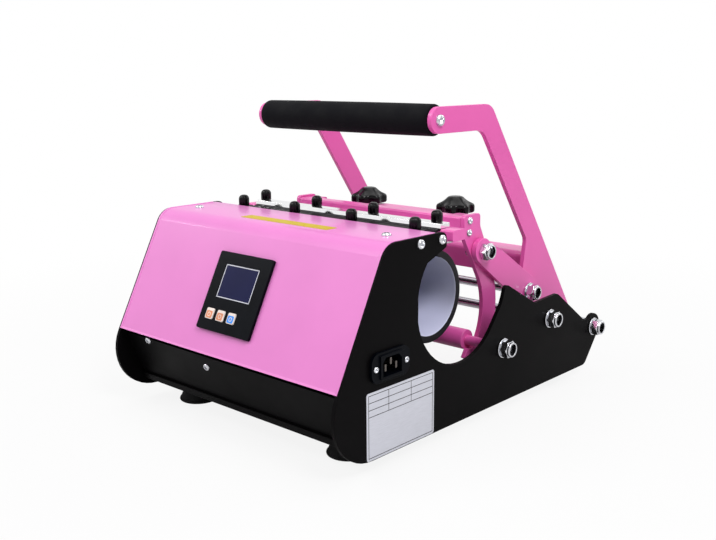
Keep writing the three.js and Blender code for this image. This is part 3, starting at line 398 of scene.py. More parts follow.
def grains(tree, size, detail=2.0, roughness=0.5, stretch=(1, 1, 1)):
    """A pattern of soft grains about size metres across, fixed to the object."""
    place = add(tree, "ShaderNodeTexCoord").outputs["Object"]
    if stretch != (1, 1, 1):
        place = add(tree, "ShaderNodeMapping", {"Vector": place, "Scale": stretch}).outputs["Vector"]
    return add(tree, "ShaderNodeTexNoise", {
        "Vector": place, "Scale": 1 / size, "Detail": detail, "Roughness": roughness}).outputs["Fac"]


def surface(name, colour, cloud, tint, gloss=None, relief=None, shade=None, **sockets):
    """A material whose colour and roughness vary with a pattern, and whose relief follows another.

    A pattern is the values of grains() or a function of the node tree. The middle of its range is
    spread over tint, which multiplies the colour, and over gloss, which is the roughness. relief is
    (pattern, height in metres, strength), and shade is a pattern for the colour alone.
    """
    material = bpy.data.materials.new(name)
    material.use_nodes = True
    tree = material.node_tree
    shader = tree.nodes["Principled BSDF"]
    shader.inputs["Base Color"].default_value = (*colour, 1)
    for key, value in sockets.items():
        shader.inputs[key.replace("_", " ").title().replace("Ior", "IOR")].default_value = value

    def pattern(source):
        return source(tree) if callable(source) else grains(tree, *source)

    cloudy = pattern(cloud)
    shares = {"Scale": (pattern(shade) if shade else cloudy, tint), "Roughness": (cloudy, gloss)}
    scaled = add(tree, "ShaderNodeVectorMath", {0: tuple(colour)}, operation="SCALE")
    tree.links.new(scaled.outputs[0], shader.inputs["Base Color"])
    for target, (source, span) in shares.items():
        if span:
            spread = add(tree, "ShaderNodeMapRange", {"Value": source, "From Min": 0.3, "From Max": 0.7,
                                                      "To Min": span[0], "To Max": span[1]})
            owner = scaled if target == "Scale" else shader
            tree.links.new(spread.outputs["Result"], owner.inputs[target])
    if relief:
        source, height, strength = relief
        raised = cloudy if source is cloud else pattern(source)
        bump = add(tree, "ShaderNodeBump", {"Height": raised, "Distance": height, "Strength": strength})
        tree.links.new(bump.outputs["Normal"], shader.inputs["Normal"])
    return material


def powder_coat(name, colour, gloss, coat, specular):
    """Powder-coated steel: baked paint with a soft gloss and a faint orange peel.

    The peel is about 2.5 mm from crest to crest on the real sheet; it softens the reflections.
    """
    return surface(name, colour, (60 * MM, 3.0), (0.975, 1.02), gloss, ((2.5 * MM, 1.0), 0.012 * MM, 0.35),
                   ior=1.5, coat_weight=coat, coat_roughness=0.12, specular_ior_level=specular)


def plated(name, colour, roughness, film=0.86):
    """Bright zinc plate and its like: a mirror-like metal with faint turning marks and a cloudy film.

    film is the share to which the film darkens the colour.
    """
    marks = (0.5 * MM, 2.0, 0.5, (1, 0.12, 0.12))
    return surface(name, colour, (8 * MM, 2.0), (film, 1.05), (roughness * 0.9, roughness * 1.1),
                   (marks, 0.005 * MM, 0.15), metallic=1.0)


def moulded(name, colour, gloss, grain, height, specular=0.5):
    """Moulded plastic or rubber: a low-gloss skin with the fine grain of its tool."""
    return surface(name, colour, (14 * MM, 3.0), (0.85, 1.15), gloss, ((grain, 2.0), height, 0.4),
                   ior=1.49, specular_ior_level=specular)


def foam_skin(colour):
    """Nitrile foam sleeve: open pores about 0.5 mm wide, drawn three times as coarse to show."""
    def pores(tree):
        place = add(tree, "ShaderNodeTexCoord").outputs["Object"]
        return add(tree, "ShaderNodeTexVoronoi", {"Vector": place, "Scale": 1 / (1.5 * MM)}).outputs["Distance"]

    return surface("nitrile_foam", colour, (20 * MM, 3.0), (0.8, 1.3), (0.62, 0.8), (pores, 0.16 * MM, 0.5),
                   ior=1.45, specular_ior_level=0.12)


def silicone(name, colour, tint, gloss, specular, shade=None):
    """Moulded silicone rubber: waxy and soft, with faint press marks across its width."""
    marks = (5 * MM, 2.0, 0.5, (0.05, 1, 1))
    return surface(name, colour, (30 * MM, 3.0), tint, gloss, (marks, 0.03 * MM, 0.4), shade,
                   ior=1.42, sheen_weight=0.04, specular_ior_level=specular)


def painted_shade_upwards(tree):
    """The lining's pattern of painted shade: it falls between two heights, so the upper wall is painted darker, as if
    in shade, and the lower wall lighter, as if lit.
    """
    place = add(tree, "ShaderNodeTexCoord").outputs["Object"]
    height = add(tree, "ShaderNodeSeparateXYZ", {0: place}).outputs["Z"]
    low = extent("heating_mat")[0][2]
    return add(tree, "ShaderNodeMapRange", {
        "Value": height, "From Min": low + 16 * MM, "From Max": low + 44 * MM, "To Min": 0.7, "To Max": 0.3,
    }, interpolation_type="SMOOTHSTEP").outputs["Result"]


def foil(name, colour, roughness, grain=0.6 * MM, metallic=0.0, specular=0.5):
    """Printed foil or vinyl sheet: fine lines along its length."""
    lines = (grain, 3.0, 0.6, (1, 0.06, 1))
    return surface(name, colour, lines, (0.94, 1.05), (roughness * 0.8, roughness * 1.2),
                   (lines, 0.006 * MM, 0.3), metallic=metallic, ior=1.5, specular_ior_level=specular)


finishes = {}


def prepare_finishes(colours):
    """Makes each material once."""
    finishes.update(
        cover=powder_coat("powder_coat_orchid", colours.cover, (0.3, 0.38), 0.25, 0.3),
        steel=powder_coat("powder_coat_pink", colours.steel, (0.28, 0.38), 0.35, 0.4),
        black=powder_coat("powder_coat_black", colours.black, (0.4, 0.5), 0, 0.04),
        # Phenolic knobs are pressed glossy and near black; the nylon of a lock nut is dull.
        plastic=moulded("moulded_phenolic", colours.plastic, (0.14, 0.22), 0.8 * MM, 0.01 * MM, 0.2),
        insert=moulded("nylon_insert", colours.plastic, (0.5, 0.6), 0.8 * MM, 0.02 * MM, 0.1),
        panel=moulded("moulded_abs", colours.panel, (0.3, 0.4), 0.6 * MM, 0.01 * MM, 0.06),
        zinc=plated("zinc_plate", colours.zinc, 0.16),
        # Drawn steel is clean and even; the contacts are nickel's duller grey, darkened further by painted shade of the
        # recess they sit in.
        rod=plated("drawn_bright_steel", colours.zinc, 0.18, 0.98),
        blade=plated("nickel_plate_painted_shade", colours.blade, 0.3),
        # Polished stainless mirrors sharply, and the rolled sheet blurs what it mirrors.
        polished=plated("polished_stainless", colours.polish, 0.1, 1.0),
        spring_sheet=plated("stainless_sheet", colours.zinc, 0.3, 0.98),
        foam=foam_skin(colours.foam),
        # The lining's colour carries painted shade: darker on its upper part, lighter on the lower wall where light
        # falls.
        lining=silicone("silicone_lining", colours.lining, (0.52, 1.0), (0.28, 0.38), 0.5, painted_shade_upwards),
        mat=silicone("silicone_rubber", colours.mat, (0.88, 1.1), (0.5, 0.62), 0.25),
        rubber=moulded("moulded_rubber", colours.rubber, (0.6, 0.75), 1.2 * MM, 0.05 * MM, 0.2),
        # The display lies behind a clear window: deep blue under a smooth, glossy front.
        screen=surface("display_window", colours.screen, (40 * MM, 1.0), (0.9, 1.15), ior=1.5, roughness=0.25,
                       coat_weight=0.1, coat_roughness=0.05, specular_ior_level=0.08),
        # Moulded keys: even, satin colour with hardly any grain.
        key_warm=moulded("printed_key_orange", colours.key_warm, (0.35, 0.45), 1 * MM, 0.005 * MM),
        key_cool=moulded("printed_key_blue", colours.key_cool, (0.35, 0.45), 1 * MM, 0.005 * MM),
        key_body=moulded("moulded_key_white", colours.key_body, (0.3, 0.4), 1 * MM, 0.005 * MM),
        # Lacquered aluminium foil glints a little; the prints and the vinyl are flat in colour.
        label=foil("aluminium_foil_label", colours.label, 0.36, metallic=0.25),
        ink=foil("black_print", colours.panel, 0.5),
        print=foil("white_print", colours.label, 0.4),
        strip=foil("yellow_vinyl", colours.strip, 0.45, 1.5 * MM, specular=0.2),
    )


# Shared pieces


def button_screw(name, centre, axis, body, sizes, scale=1.0, node=None):
    """A button-head screw: a low dome round a hexagonal socket.

    The dome is part of a circle turned about the axis; the socket's rings are cut to a hexagon.
    """
    head, rise, flats = (size * scale for size in (sizes.screw_head, sizes.screw_rise, sizes.screw_socket))
    mouth = flats * 0.62
    dome = [(max(rise * math.cos(t) ** 0.9, rise * 0.22), mouth + (head - mouth) * math.sin(t))
            for t in np.linspace(QUARTER * 0.96, 0.12, 9)]
    rows = [(0, 0), (0, head), (rise * 0.2, head), *dome, (rise * 0.98, mouth), (rise * 0.9, mouth, 1),
            (rise * 0.3, mouth, 1), (rise * 0.24, 0)]
    make_piece(name, turned(rows, centre, axis, 48, hexagon(flats)), "zinc", body, node, 40)


def lock_nut(node, body, sizes, side, washer_finish="zinc"):
    """A prevailing-torque nut on its washer, drawn outwards from the plate.

    The hexagon is chamfered by a cone, the collar closes in a round shoulder on a dark hollow,
    and the washer has a rolled edge. All are rings turned about the pin.
    """
    low, high, centre = extent(node)
    reach, washer = high[0] - low[0], (high[2] - low[2]) / 2
    centre[0] = low[0] if side > 0 else high[0]
    thickness, bore, roll, shoulder = 1.5 * MM, 5.1 * MM, 0.5 * MM, 0.9 * MM
    collar, hollow, top = sizes.nut_collar, sizes.nut_hollow, reach - 2.4 * MM
    corner, inner = sizes.nut_flats / math.sqrt(3), sizes.nut_flats / 2 * 0.97
    cone = (corner - inner) * math.tan(math.radians(30))
    start = thickness + 0.05 * MM
    climb = np.linspace(0, 1, 7)
    rows = [(start, bore), (start, inner, 1), *[(start + cone * t, inner + (corner - inner) * t, 1) for t in climb],
            *[(top - cone * t, inner + (corner - inner) * t, 1) for t in climb[::-1]], (top, collar),
            *arc_rows(reach - shoulder, collar - shoulder, shoulder, 90, 0), (reach - 0.1 * MM, hollow + 0.2 * MM),
            (reach - 0.5 * MM, hollow), (reach - 2.2 * MM, hollow), (top, bore)]
    kinds = np.repeat(np.arange(len(rows) - 1) >= len(rows) - 3, 96)
    make_piece(f"{node}_finish", turned(rows, centre, (side, 0, 0), 96, hexagon(sizes.nut_flats)),
               ["zinc", "insert"], body, node, 28, kinds=kinds)
    rows = [(0, bore), (0, washer - roll), *rounded_ends(0, thickness, washer, roll), (thickness, bore), (0, bore)]
    make_piece(f"{node}_washer", turned(rows, centre, (side, 0, 0)), washer_finish, body)


class PRESS_OT_stage(bpy.types.Operator):
    """Makes the floor, the soft studio light and the camera"""

    bl_idname = "mug_press.stage"
    bl_label = "Studio"

    def execute(self, context):
        scene = context.scene
        scene.view_settings.view_transform = "Standard"
        self.make_camera(scene)
        self.make_floor(scene, scene.press_colours)
        self.make_world(scene)
        target = Vector((0, 0, 0.15))
        lamps = (
            ("Key", (-0.9, -1.5, 1.9), (1.3, 1.0), 21),
            ("Side", (1.5, -0.5, 1.8), (0.7, 0.7), 27),
            ("Top", (0.1, 0.3, 2.3), (1.8, 1.4), 14),
            ("Back", (0.6, 2.0, 1.3), (1.5, 1.0), 8),
            ("Window", (-1.69, -0.975, 1.08), (0.2, 0.2), 3),
        )
        for name, place, (width, height), power in lamps:
            data = bpy.data.lights.new(name, "AREA")
            data.shape = "RECTANGLE"
            data.size, data.size_y = width, height
            data.energy = power
            lamp = bpy.data.objects.new(name, data)
            lamp.location = place
            lamp.rotation_euler = (target - Vector(place)).to_track_quat("-Z", "Y").to_euler()
            scene.collection.objects.link(lamp)
        return {"FINISHED"}

    def make_camera(self, scene):
        """The photograph's viewing angle, fitted to the edges of the plates, cover and handle."""
        data = bpy.data.cameras.new("Camera")
        data.sensor_width = 36
        data.lens = 46.96
        data.clip_start, data.clip_end = 0.02, 50
        camera = bpy.data.objects.new("Camera", data)
        turn, drop, roll = math.radians(43.06), math.radians(12.19), math.radians(-0.54)
        aim = Matrix.Rotation(turn, 4, "Z") @ Matrix.Rotation(QUARTER - drop, 4, "X")
        camera.matrix_world = Matrix.Translation((0.6687, -0.7345, 0.3465)) @ aim @ Matrix.Rotation(roll, 4, "Z")
        scene.collection.objects.link(camera)
        scene.camera = camera

    def make_floor(self, scene, colours):
        """A wide pale floor; the camera sees it almost white, with the object's shadow near it."""
        mesh = bpy.data.meshes.new("floor")
        half = 6.0
        mesh.from_pydata([(-half, -half, 0), (half, -half, 0), (half, half, 0), (-half, half, 0)], [], [(0, 1, 2, 3)])
        floor = bpy.data.objects.new("floor", mesh)
        floor.location.z = -0.3 * MM
        scene.collection.objects.link(floor)
        material = bpy.data.materials.new("paper_floor")
        material.use_nodes = True
        tree = material.node_tree
        shader = tree.nodes["Principled BSDF"]
        shader.inputs["Base Color"].default_value = (*colours.floor, 1)
        shader.inputs["Roughness"].default_value = 0.9
        shader.inputs["Specular IOR Level"].default_value = 0.1
        seen = add(tree, "ShaderNodeLightPath").outputs["Is Camera Ray"]
        place = add(tree, "ShaderNodeTexCoord").outputs["Object"]
        reach = add(tree, "ShaderNodeVectorMath", {0: place}, operation="LENGTH").outputs["Value"]
        fade = add(tree, "ShaderNodeMapRange", {
            "Value": reach, "From Min": 0.3, "From Max": 1.0, "To Min": 0.88, "To Max": 1.0,
        }, interpolation_type="SMOOTHSTEP").outputs["Result"]
        share = add(tree, "ShaderNodeMath", {0: seen, 1: fade}, operation="MULTIPLY").outputs[0]
        white = add(tree, "ShaderNodeEmission", {"Color": (1, 1, 1, 1), "Strength": 1.0}).outputs[0]
        mix = add(tree, "ShaderNodeMixShader", {0: share, 1: shader.outputs[0], 2: white})
        tree.links.new(mix.outputs[0], tree.nodes["Material Output"].inputs["Surface"])
        mesh.materials.append(material)

    def make_world(self, scene):
        """An even grey studio that the camera and mirror-like metal see as white."""
        world = bpy.data.worlds.new("Studio")
        scene.world = world
        world.use_nodes = True
        tree = world.node_tree
        path = add(tree, "ShaderNodeLightPath").outputs
        shine = add(tree, "ShaderNodeMath", {0: path["Is Glossy Ray"], 1: 0.8}, operation="MULTIPLY").outputs[0]
        strong = add(tree, "ShaderNodeMath", {0: path["Is Camera Ray"], 1: shine}, operation="MAXIMUM").outputs[0]
        level = add(tree, "ShaderNodeMapRange", {"Value": strong, "To Min": 0.36, "To Max": 1.0}).outputs["Result"]
        background = tree.nodes["Background"]
        background.inputs["Color"].default_value = (1, 1, 1, 1)
        tree.links.new(level, background.inputs["Strength"])


class PRESS_OT_box(bpy.types.Operator):
    """Coats the side plates, the cover and the base pan, and adds their screws"""

    bl_idname = "mug_press.box"
    bl_label = "Control box"

    def execute(self, context):
        sizes = context.scene.press_sizes
        low, high, _ = extent("side_plate_right")
        cover = extent("control_box_cover")[1]
        for side, sign in SIDES:
            self.ease_rim(coated(f"side_plate_{side}", "black", sizes.sheet_edge), sign * high[0], sizes)
        coated("control_box_cover", "cover", sizes.sheet_edge * 2)
        self.hems(sizes)
        coated("base_pan", "black", sizes.sheet_edge)
        coated("front_mat_bracket", "cover", sizes.sheet_edge)
        for side, sign in SIDES:
            for number, setback in enumerate((0, sizes.plate_screw_pitch), 1):
                place = (sign * high[0], low[1] + sizes.plate_screw_setback + setback, high[2] - sizes.plate_screw_drop)
                button_screw(f"plate_screw_{side}_{number}", place, (sign, 0, 0), "frame", sizes)
            place = (sign * (cover[0] - sizes.cover_screw_inset), low[1] + sizes.cover_screw_setback, high[2])
            button_screw(f"cover_screw_{side}", place, Z, "frame", sizes)
        self.pan_front(sizes)
        return {"FINISHED"}

    def ease_rim(self, plate, face_x, sizes):
        """Weights the bevel: full round the plate's outer outline, slight on its other sharp edges.

        The outline is the ring of edges on the outer face that is joined to its foremost corner.
        """
        mesh = plate.data
        ends = np.empty(len(mesh.edges) * 2, np.int32)
        mesh.edges.foreach_get("vertices", ends)
        ends = ends.reshape(-1, 2)
        place = np.empty(len(mesh.vertices) * 3)
        mesh.vertices.foreach_get("co", place)
        place = place.reshape(-1, 3)
        sharp = np.empty(len(mesh.edges), bool)
        mesh.edges.foreach_get("use_edge_sharp", sharp)
        outer = sharp & (np.abs(place[ends][..., 0] - face_x) < 0.01 * MM).all(axis=1)
        corners = ends[outer]
        reached = np.zeros(len(place), bool)
        reached[corners.ravel()[np.argmin(place[corners.ravel(), 1])]] = True
        for _ in range(len(place)):
            touched = corners[reached[corners].any(axis=1)].ravel()
            if reached[touched].all():
                break
            reached[touched] = True
        rim = outer & reached[ends].all(axis=1)
        weight = np.where(rim, 1.0, np.where(sharp, sizes.sheet_edge / sizes.plate_rim, 0.0))
        mesh.attributes.new("bevel_weight_edge", "FLOAT", "EDGE").data.foreach_set("value", weight.astype(np.float32))
        bevel = plate.modifiers["Edge"]
        bevel.limit_method = "WEIGHT"
        bevel.width = sizes.plate_rim
        bevel.profile = 0.4

    def hems(self, sizes):
        """The cover's hems: narrow pink laps over the side plates, up the panel, round the brow and back.

        The path is a straight line up the slope, an arc tangent to it and to the top, and a straight line.
        The flare is a thin wedge along the lower edge, thickest at the foot.
        """
        low, high, _ = extent("control_box_cover")
        axis = joint_of("timer_button")["axis"]
        slope = math.atan2(axis[1], -axis[2])
        rise = np.array((math.cos(slope), math.sin(slope)))
        out = np.array((-math.sin(slope), math.cos(slope)))
        radius = sizes.brow_radius
        # The plate's outline runs a little above the corner of the cover's box, and so does the hem.
        foot = np.array((low[1], low[2] + 0.9 * MM))
        corner_y = foot[0] + (high[2] - foot[1]) / math.tan(slope)
        centre = np.array((corner_y + radius * math.tan(slope / 2), high[2] - radius))
        turns = np.linspace(QUARTER + slope, QUARTER, 16)
        arc = centre + radius * np.stack([np.cos(turns), np.sin(turns)], axis=-1)
        path = np.concatenate([[foot], arc, [(high[1] - 6 * MM, high[2])]])
        turns = np.concatenate([turns[:1], turns, turns[-1:]])
        normals = np.stack([np.cos(turns), np.sin(turns)], axis=-1)
        thickness, tuck = np.full(len(path), 0.45 * MM), 0.5 * MM
        grid = strip_along(path, normals, sizes.hem_width / 2 + tuck, thickness, 0.25 * MM)
        for side, sign in SIDES:
            shift = sign * (high[0] + sizes.hem_width / 2 - 0.2 * MM)
            make_piece(f"cover_hem_{side}", grid + X * shift, "cover", "frame")
        crest = rise * sizes.flare_height
        profile = [foot - out * MM, foot + out * sizes.flare_depth, foot + out * 0.02 * MM + crest,
                   foot - out * MM + crest]
        soften(make_piece("cover_flare", bar_across(profile, high[0] - 0.1 * MM), "cover", "frame"), 0.2 * MM)

    def pan_front(self, sizes):
        """Two screws on the pan's sloping front and the folded lip along its lower edge."""
        low, high, _ = extent("base_pan")
        toe = np.array((low[1] + PAN_TOE, low[2]))
        for number, (x, up) in enumerate(((-118, 57.5), (-28, 46.5)), 1):
            place = (x * MM, *(toe + PAN_RISE * up * MM))
            button_screw(f"pan_screw_{number}", place, (0, *PAN_OUT), "frame", sizes, 0.85)
        foot = toe + (0, 0.1 * MM)
        front = foot + (-sizes.lip_depth, 0)
        top = PAN_RISE * sizes.lip_height
        profile = [foot, front, front + top, foot + top - PAN_OUT * 0.6 * MM]
        soften(make_piece("pan_lip", bar_across(profile, high[0] - 0.4 * MM), "black", "frame"), 0.9 * MM)


class PRESS_OT_controller(bpy.types.Operator):
    """Dresses the controller: its bezel, display, printed border and three keys"""

    bl_idname = "mug_press.controller"
    bl_label = "Controller"

    def execute(self, context):
        out = -np.array(joint_of("timer_button")["axis"], float)
        up = np.cross(out, X)
        coated("controller_bezel", "panel", context.scene.press_sizes.moulded_edge)
        screen, half = extent("controller_screen")[2], 0.9 * MM
        window = slab(screen - out * half, X, up, 48 * MM, 33.5 * MM, 1 * MM, 2 * half, 0.3 * MM)
        make_piece("display_window", window, "screen", "frame", "controller_screen")
        width, height, line = 46.6 * MM, 32.2 * MM, 0.9 * MM
        bars = [((0, height / 2), width + line, line), ((0, -height / 2), width + line, line),
                ((width / 2, 0), line, height), ((-width / 2, 0), line, height)]
        flat_bars("display_border", bars, screen + out * (half + 0.02 * MM), X, up, 0.2 * MM, 0.08 * MM, 0.03 * MM,
                  "print")
        for name, tint in (("timer", "key_warm"), ("set", "key_warm"), ("start", "key_cool")):
            self.key(name, tint, up, out)
        return {"FINISHED"}

    def key(self, name, tint, up, out):
        """A pale moulded key with a tinted face and a ring printed on it."""
        node, name = f"{name}_button", f"{name}_key"
        size, depth, print_drop, print_depth = 10.6 * MM, 4.4 * MM, 0.9 * MM, 0.12 * MM
        base = extent(node)[2] - out * depth / 2
        face = base + out * depth - up * print_drop
        make_piece(name, slab(base, X, up, size, size, 1.6 * MM, depth, 0.5 * MM), "key_body", node, node)
        printed = slab(face, X, up, size * 0.8, size * 0.66, 1.2 * MM, print_depth, 0.04 * MM)
        make_piece(f"{name}_print", printed, tint, node)
        rows = [(0, 1.5 * MM), (0.06 * MM, 1.55 * MM), (0.06 * MM, 2.1 * MM), (0, 2.15 * MM), (0, 1.5 * MM)]
        make_piece(f"{name}_ring", turned(rows, face + out * print_depth, out, 40), "key_body", node)


class PRESS_OT_labels(bpy.types.Operator):
    """Adds the plain rating plate with its ruled cells and the plain yellow strip"""

    bl_idname = "mug_press.labels"
    bl_label = "Labels"

    def execute(self, context):
        sizes = context.scene.press_sizes
        low, high, _ = extent("side_plate_right")
        centre = np.array((high[0] + 0.02 * MM, low[1] + sizes.label_setback, low[2] + sizes.label_rise))
        length, height, thick = sizes.label_length, sizes.label_height, 0.4 * MM
        make_piece("rating_plate", slab(centre, Y, Z, length, height, 2.5 * MM, thick, 0.15 * MM), "label", "frame")
        # Black rules: a border and the lines of empty cells, as shares of the space inside it.
        wide, tall, line = length - 5 * MM, height - 5 * MM, 0.6 * MM
        bars = [((0, share * tall), wide + line, line) for share in (0.5, -0.5, 0.16, 0.27, 0.385)]
        bars += [((side * wide / 2, 0), line, tall) for side in (-1, 1)]
        bars += [((share * wide, 0.33 * tall), line, 0.34 * tall) for share in (-0.2, 0.15)]
        flat_bars("rating_plate_rules", bars, centre + X * thick, Y, Z, 0.15 * MM, 0.05 * MM, 0.02 * MM, "ink")
        top = extent("control_box_cover")[1][2] + 0.02 * MM
        place = (sizes.strip_shift, low[1] + sizes.strip_setback, top)
        strip = slab(place, X, Y, sizes.strip_length, sizes.strip_depth, 2 * MM, 0.2 * MM, 0.08 * MM)
        make_piece("yellow_strip", strip, "strip", "frame")
        return {"FINISHED"}


class PRESS_OT_inlet(bpy.types.Operator):
    """Dresses the power inlet: its moulding, three plated blades and two screws"""

    bl_idname = "mug_press.inlet"
    bl_label = "Power inlet"

    def execute(self, context):
        sizes = context.scene.press_sizes
        coated("power_inlet", "panel", sizes.moulded_edge * 0.6)
        _, high, centre = extent("power_inlet")
        width, height, length, edge = 2.3 * MM, 6.3 * MM, 14.2 * MM, 0.4 * MM
        socket_floor = high[0] - 16 * MM
        places = [(socket_floor, centre[1] + y * MM, centre[2] + z * MM) for y, z in ((-7, -1.5), (0, 3.5), (7, -1.5))]
        blades = [slab(place, Y, Z, width, height, edge, length, edge) for place in places]
        make_piece("inlet_blades", blades, "blade", "frame")
        flange = extent("side_plate_right")[1][0] + 3 * MM
        for number, side in enumerate((-1, 1), 1):
            place = (flange, centre[1] + side * 20 * MM, centre[2])
            button_screw(f"inlet_screw_{number}", place, X, "frame", sizes, 0.62)
        return {"FINISHED"}


class PRESS_OT_feet(bpy.types.Operator):
    """Makes the four bell-shaped rubber feet"""

    bl_idname = "mug_press.feet"
    bl_label = "Feet"

    def execute(self, context):
        for node in ("front_foot_right", "front_foot_left", "rear_foot_right", "rear_foot_left"):
            low, high, centre = extent(node)
            centre[2] = low[2]
            radius, top, lip = (high[0] - low[0]) / 2, high[2] - low[2], 1.6 * MM
            rows = [(2.2 * MM, 0), (2.2 * MM, radius * 0.55), (0, radius - 2.4 * MM),
                    *arc_rows(lip, radius - lip, lip, 180, 90), *arc_rows(lip + 0.2 * MM, radius - lip, lip, 90, 20)]
            start, end = rows[-1], (top, radius * 0.71)
            rows += [(start[0] + (end[0] - start[0]) * s, end[1] + (start[1] - end[1]) * (1 - s) ** 1.9)
                     for s in np.linspace(0, 1, 9)[1:]]
            rows.append((top, 0))
            make_piece(f"{node}_finish", turned(rows, centre, Z, 72), "rubber", "frame", node)
        return {"FINISHED"}


class PRESS_OT_pins(bpy.types.Operator):
    """Makes the round shafts and rods across the press and the lock nuts on their ends"""

    bl_idname = "mug_press.pins"
    bl_label = "Shafts and nuts"

    def execute(self, context):
        sizes = context.scene.press_sizes
        for node, shoulder_from, finish in (("clamp_pivot_shaft", 148.5, "steel"), ("stop_rod", 148.5, "rod"),
                                            ("handle_pivot_shaft", 121.3, "rod")):
            self.shaft(node, shoulder_from * MM, finish)
        self.rod()
        self.tube()
        for side, sign in SIDES:
            for pin in ("clamp_pivot", "handle_pivot", "stop_rod"):
                lock_nut(f"{pin}_nut_{side}", "frame", sizes, sign)
            lock_nut(f"link_rod_nut_{side}", "links", sizes, sign)
            lock_nut(f"link_bolt_nut_{side}", "clamp_frame", sizes, sign, "steel")
            self.bolt(side, sign)
        return {"FINISHED"}

    def across(self, node, rows, finish, body, sides=48, kinds=0):
        """A piece turned about a node's own line along X."""
        grid = turned(rows, extent(node)[2] * (0, 1, 1), X, sides)
        make_piece(f"{node}_finish", grid, finish, body, node, 30, kinds=kinds)

    def shaft(self, node, shoulder_from, finish):
        """A shaft with a thicker shoulder at each side plate; what lies between the plates has the finish."""
        end, inner = extent(node)[1][0], extent("control_box_cover")[1][0]
        thin, thick, bevel = 5 * MM, 8 * MM, 0.6 * MM
        half = [(shoulder_from, thin), (shoulder_from, thick - bevel), (shoulder_from + bevel, thick),
                (inner - bevel, thick), (inner, thick - bevel), (inner, thin), (end - bevel, thin),
                (end, thin - bevel), (end, 0)]
        rows = [(-a, r) for a, r in reversed(half)] + half
        between = np.array([abs(a) < inner for a, _ in rows])
        self.across(node, rows, ["rod", finish], "frame", kinds=np.repeat(between[:-1] & between[1:], 48))

    def rod(self):
        """The plain round rod that joins the arms to the links, with chamfered ends."""
        self.across("link_rod", chamfered(extent("link_rod")[1][0], 5 * MM, 0.6 * MM), "rod", "links")

    def tube(self):
        """The painted tube that the clamp frame turns on, with eased ends round its bore."""
        low, high, _ = extent("clamp_pivot_tube")
        end, radius, bore, ease = high[0], (high[2] - low[2]) / 2, 5.15 * MM, 0.7 * MM
        rows = [(-end, bore), (-end, radius - ease), *rounded_ends(-end, end, radius, ease), (end, bore), (-end, bore)]
        self.across("clamp_pivot_tube", rows, "steel", "clamp_frame", 64)

    def bolt(self, side, sign):
        """The link's bolt: a round head inside the cheek and a plain shank out to its nut."""
        node = f"link_bolt_{side}"
        low, high, centre = extent(node)
        length = high[0] - low[0]
        centre[0] = low[0] if sign > 0 else high[0]
        head, thick, shank, ease = (high[2] - low[2]) / 2, 5.5 * MM, 5 * MM, 0.8 * MM
        rows = [(0, 0), (0, head - ease), (ease, head), (thick, head), (thick, shank), (length - ease, shank),
                (length, shank - ease), (length, 0)]
        make_piece(f"{node}_finish", turned(rows, centre, (sign, 0, 0), 48), "rod", "clamp_frame", node, 30)


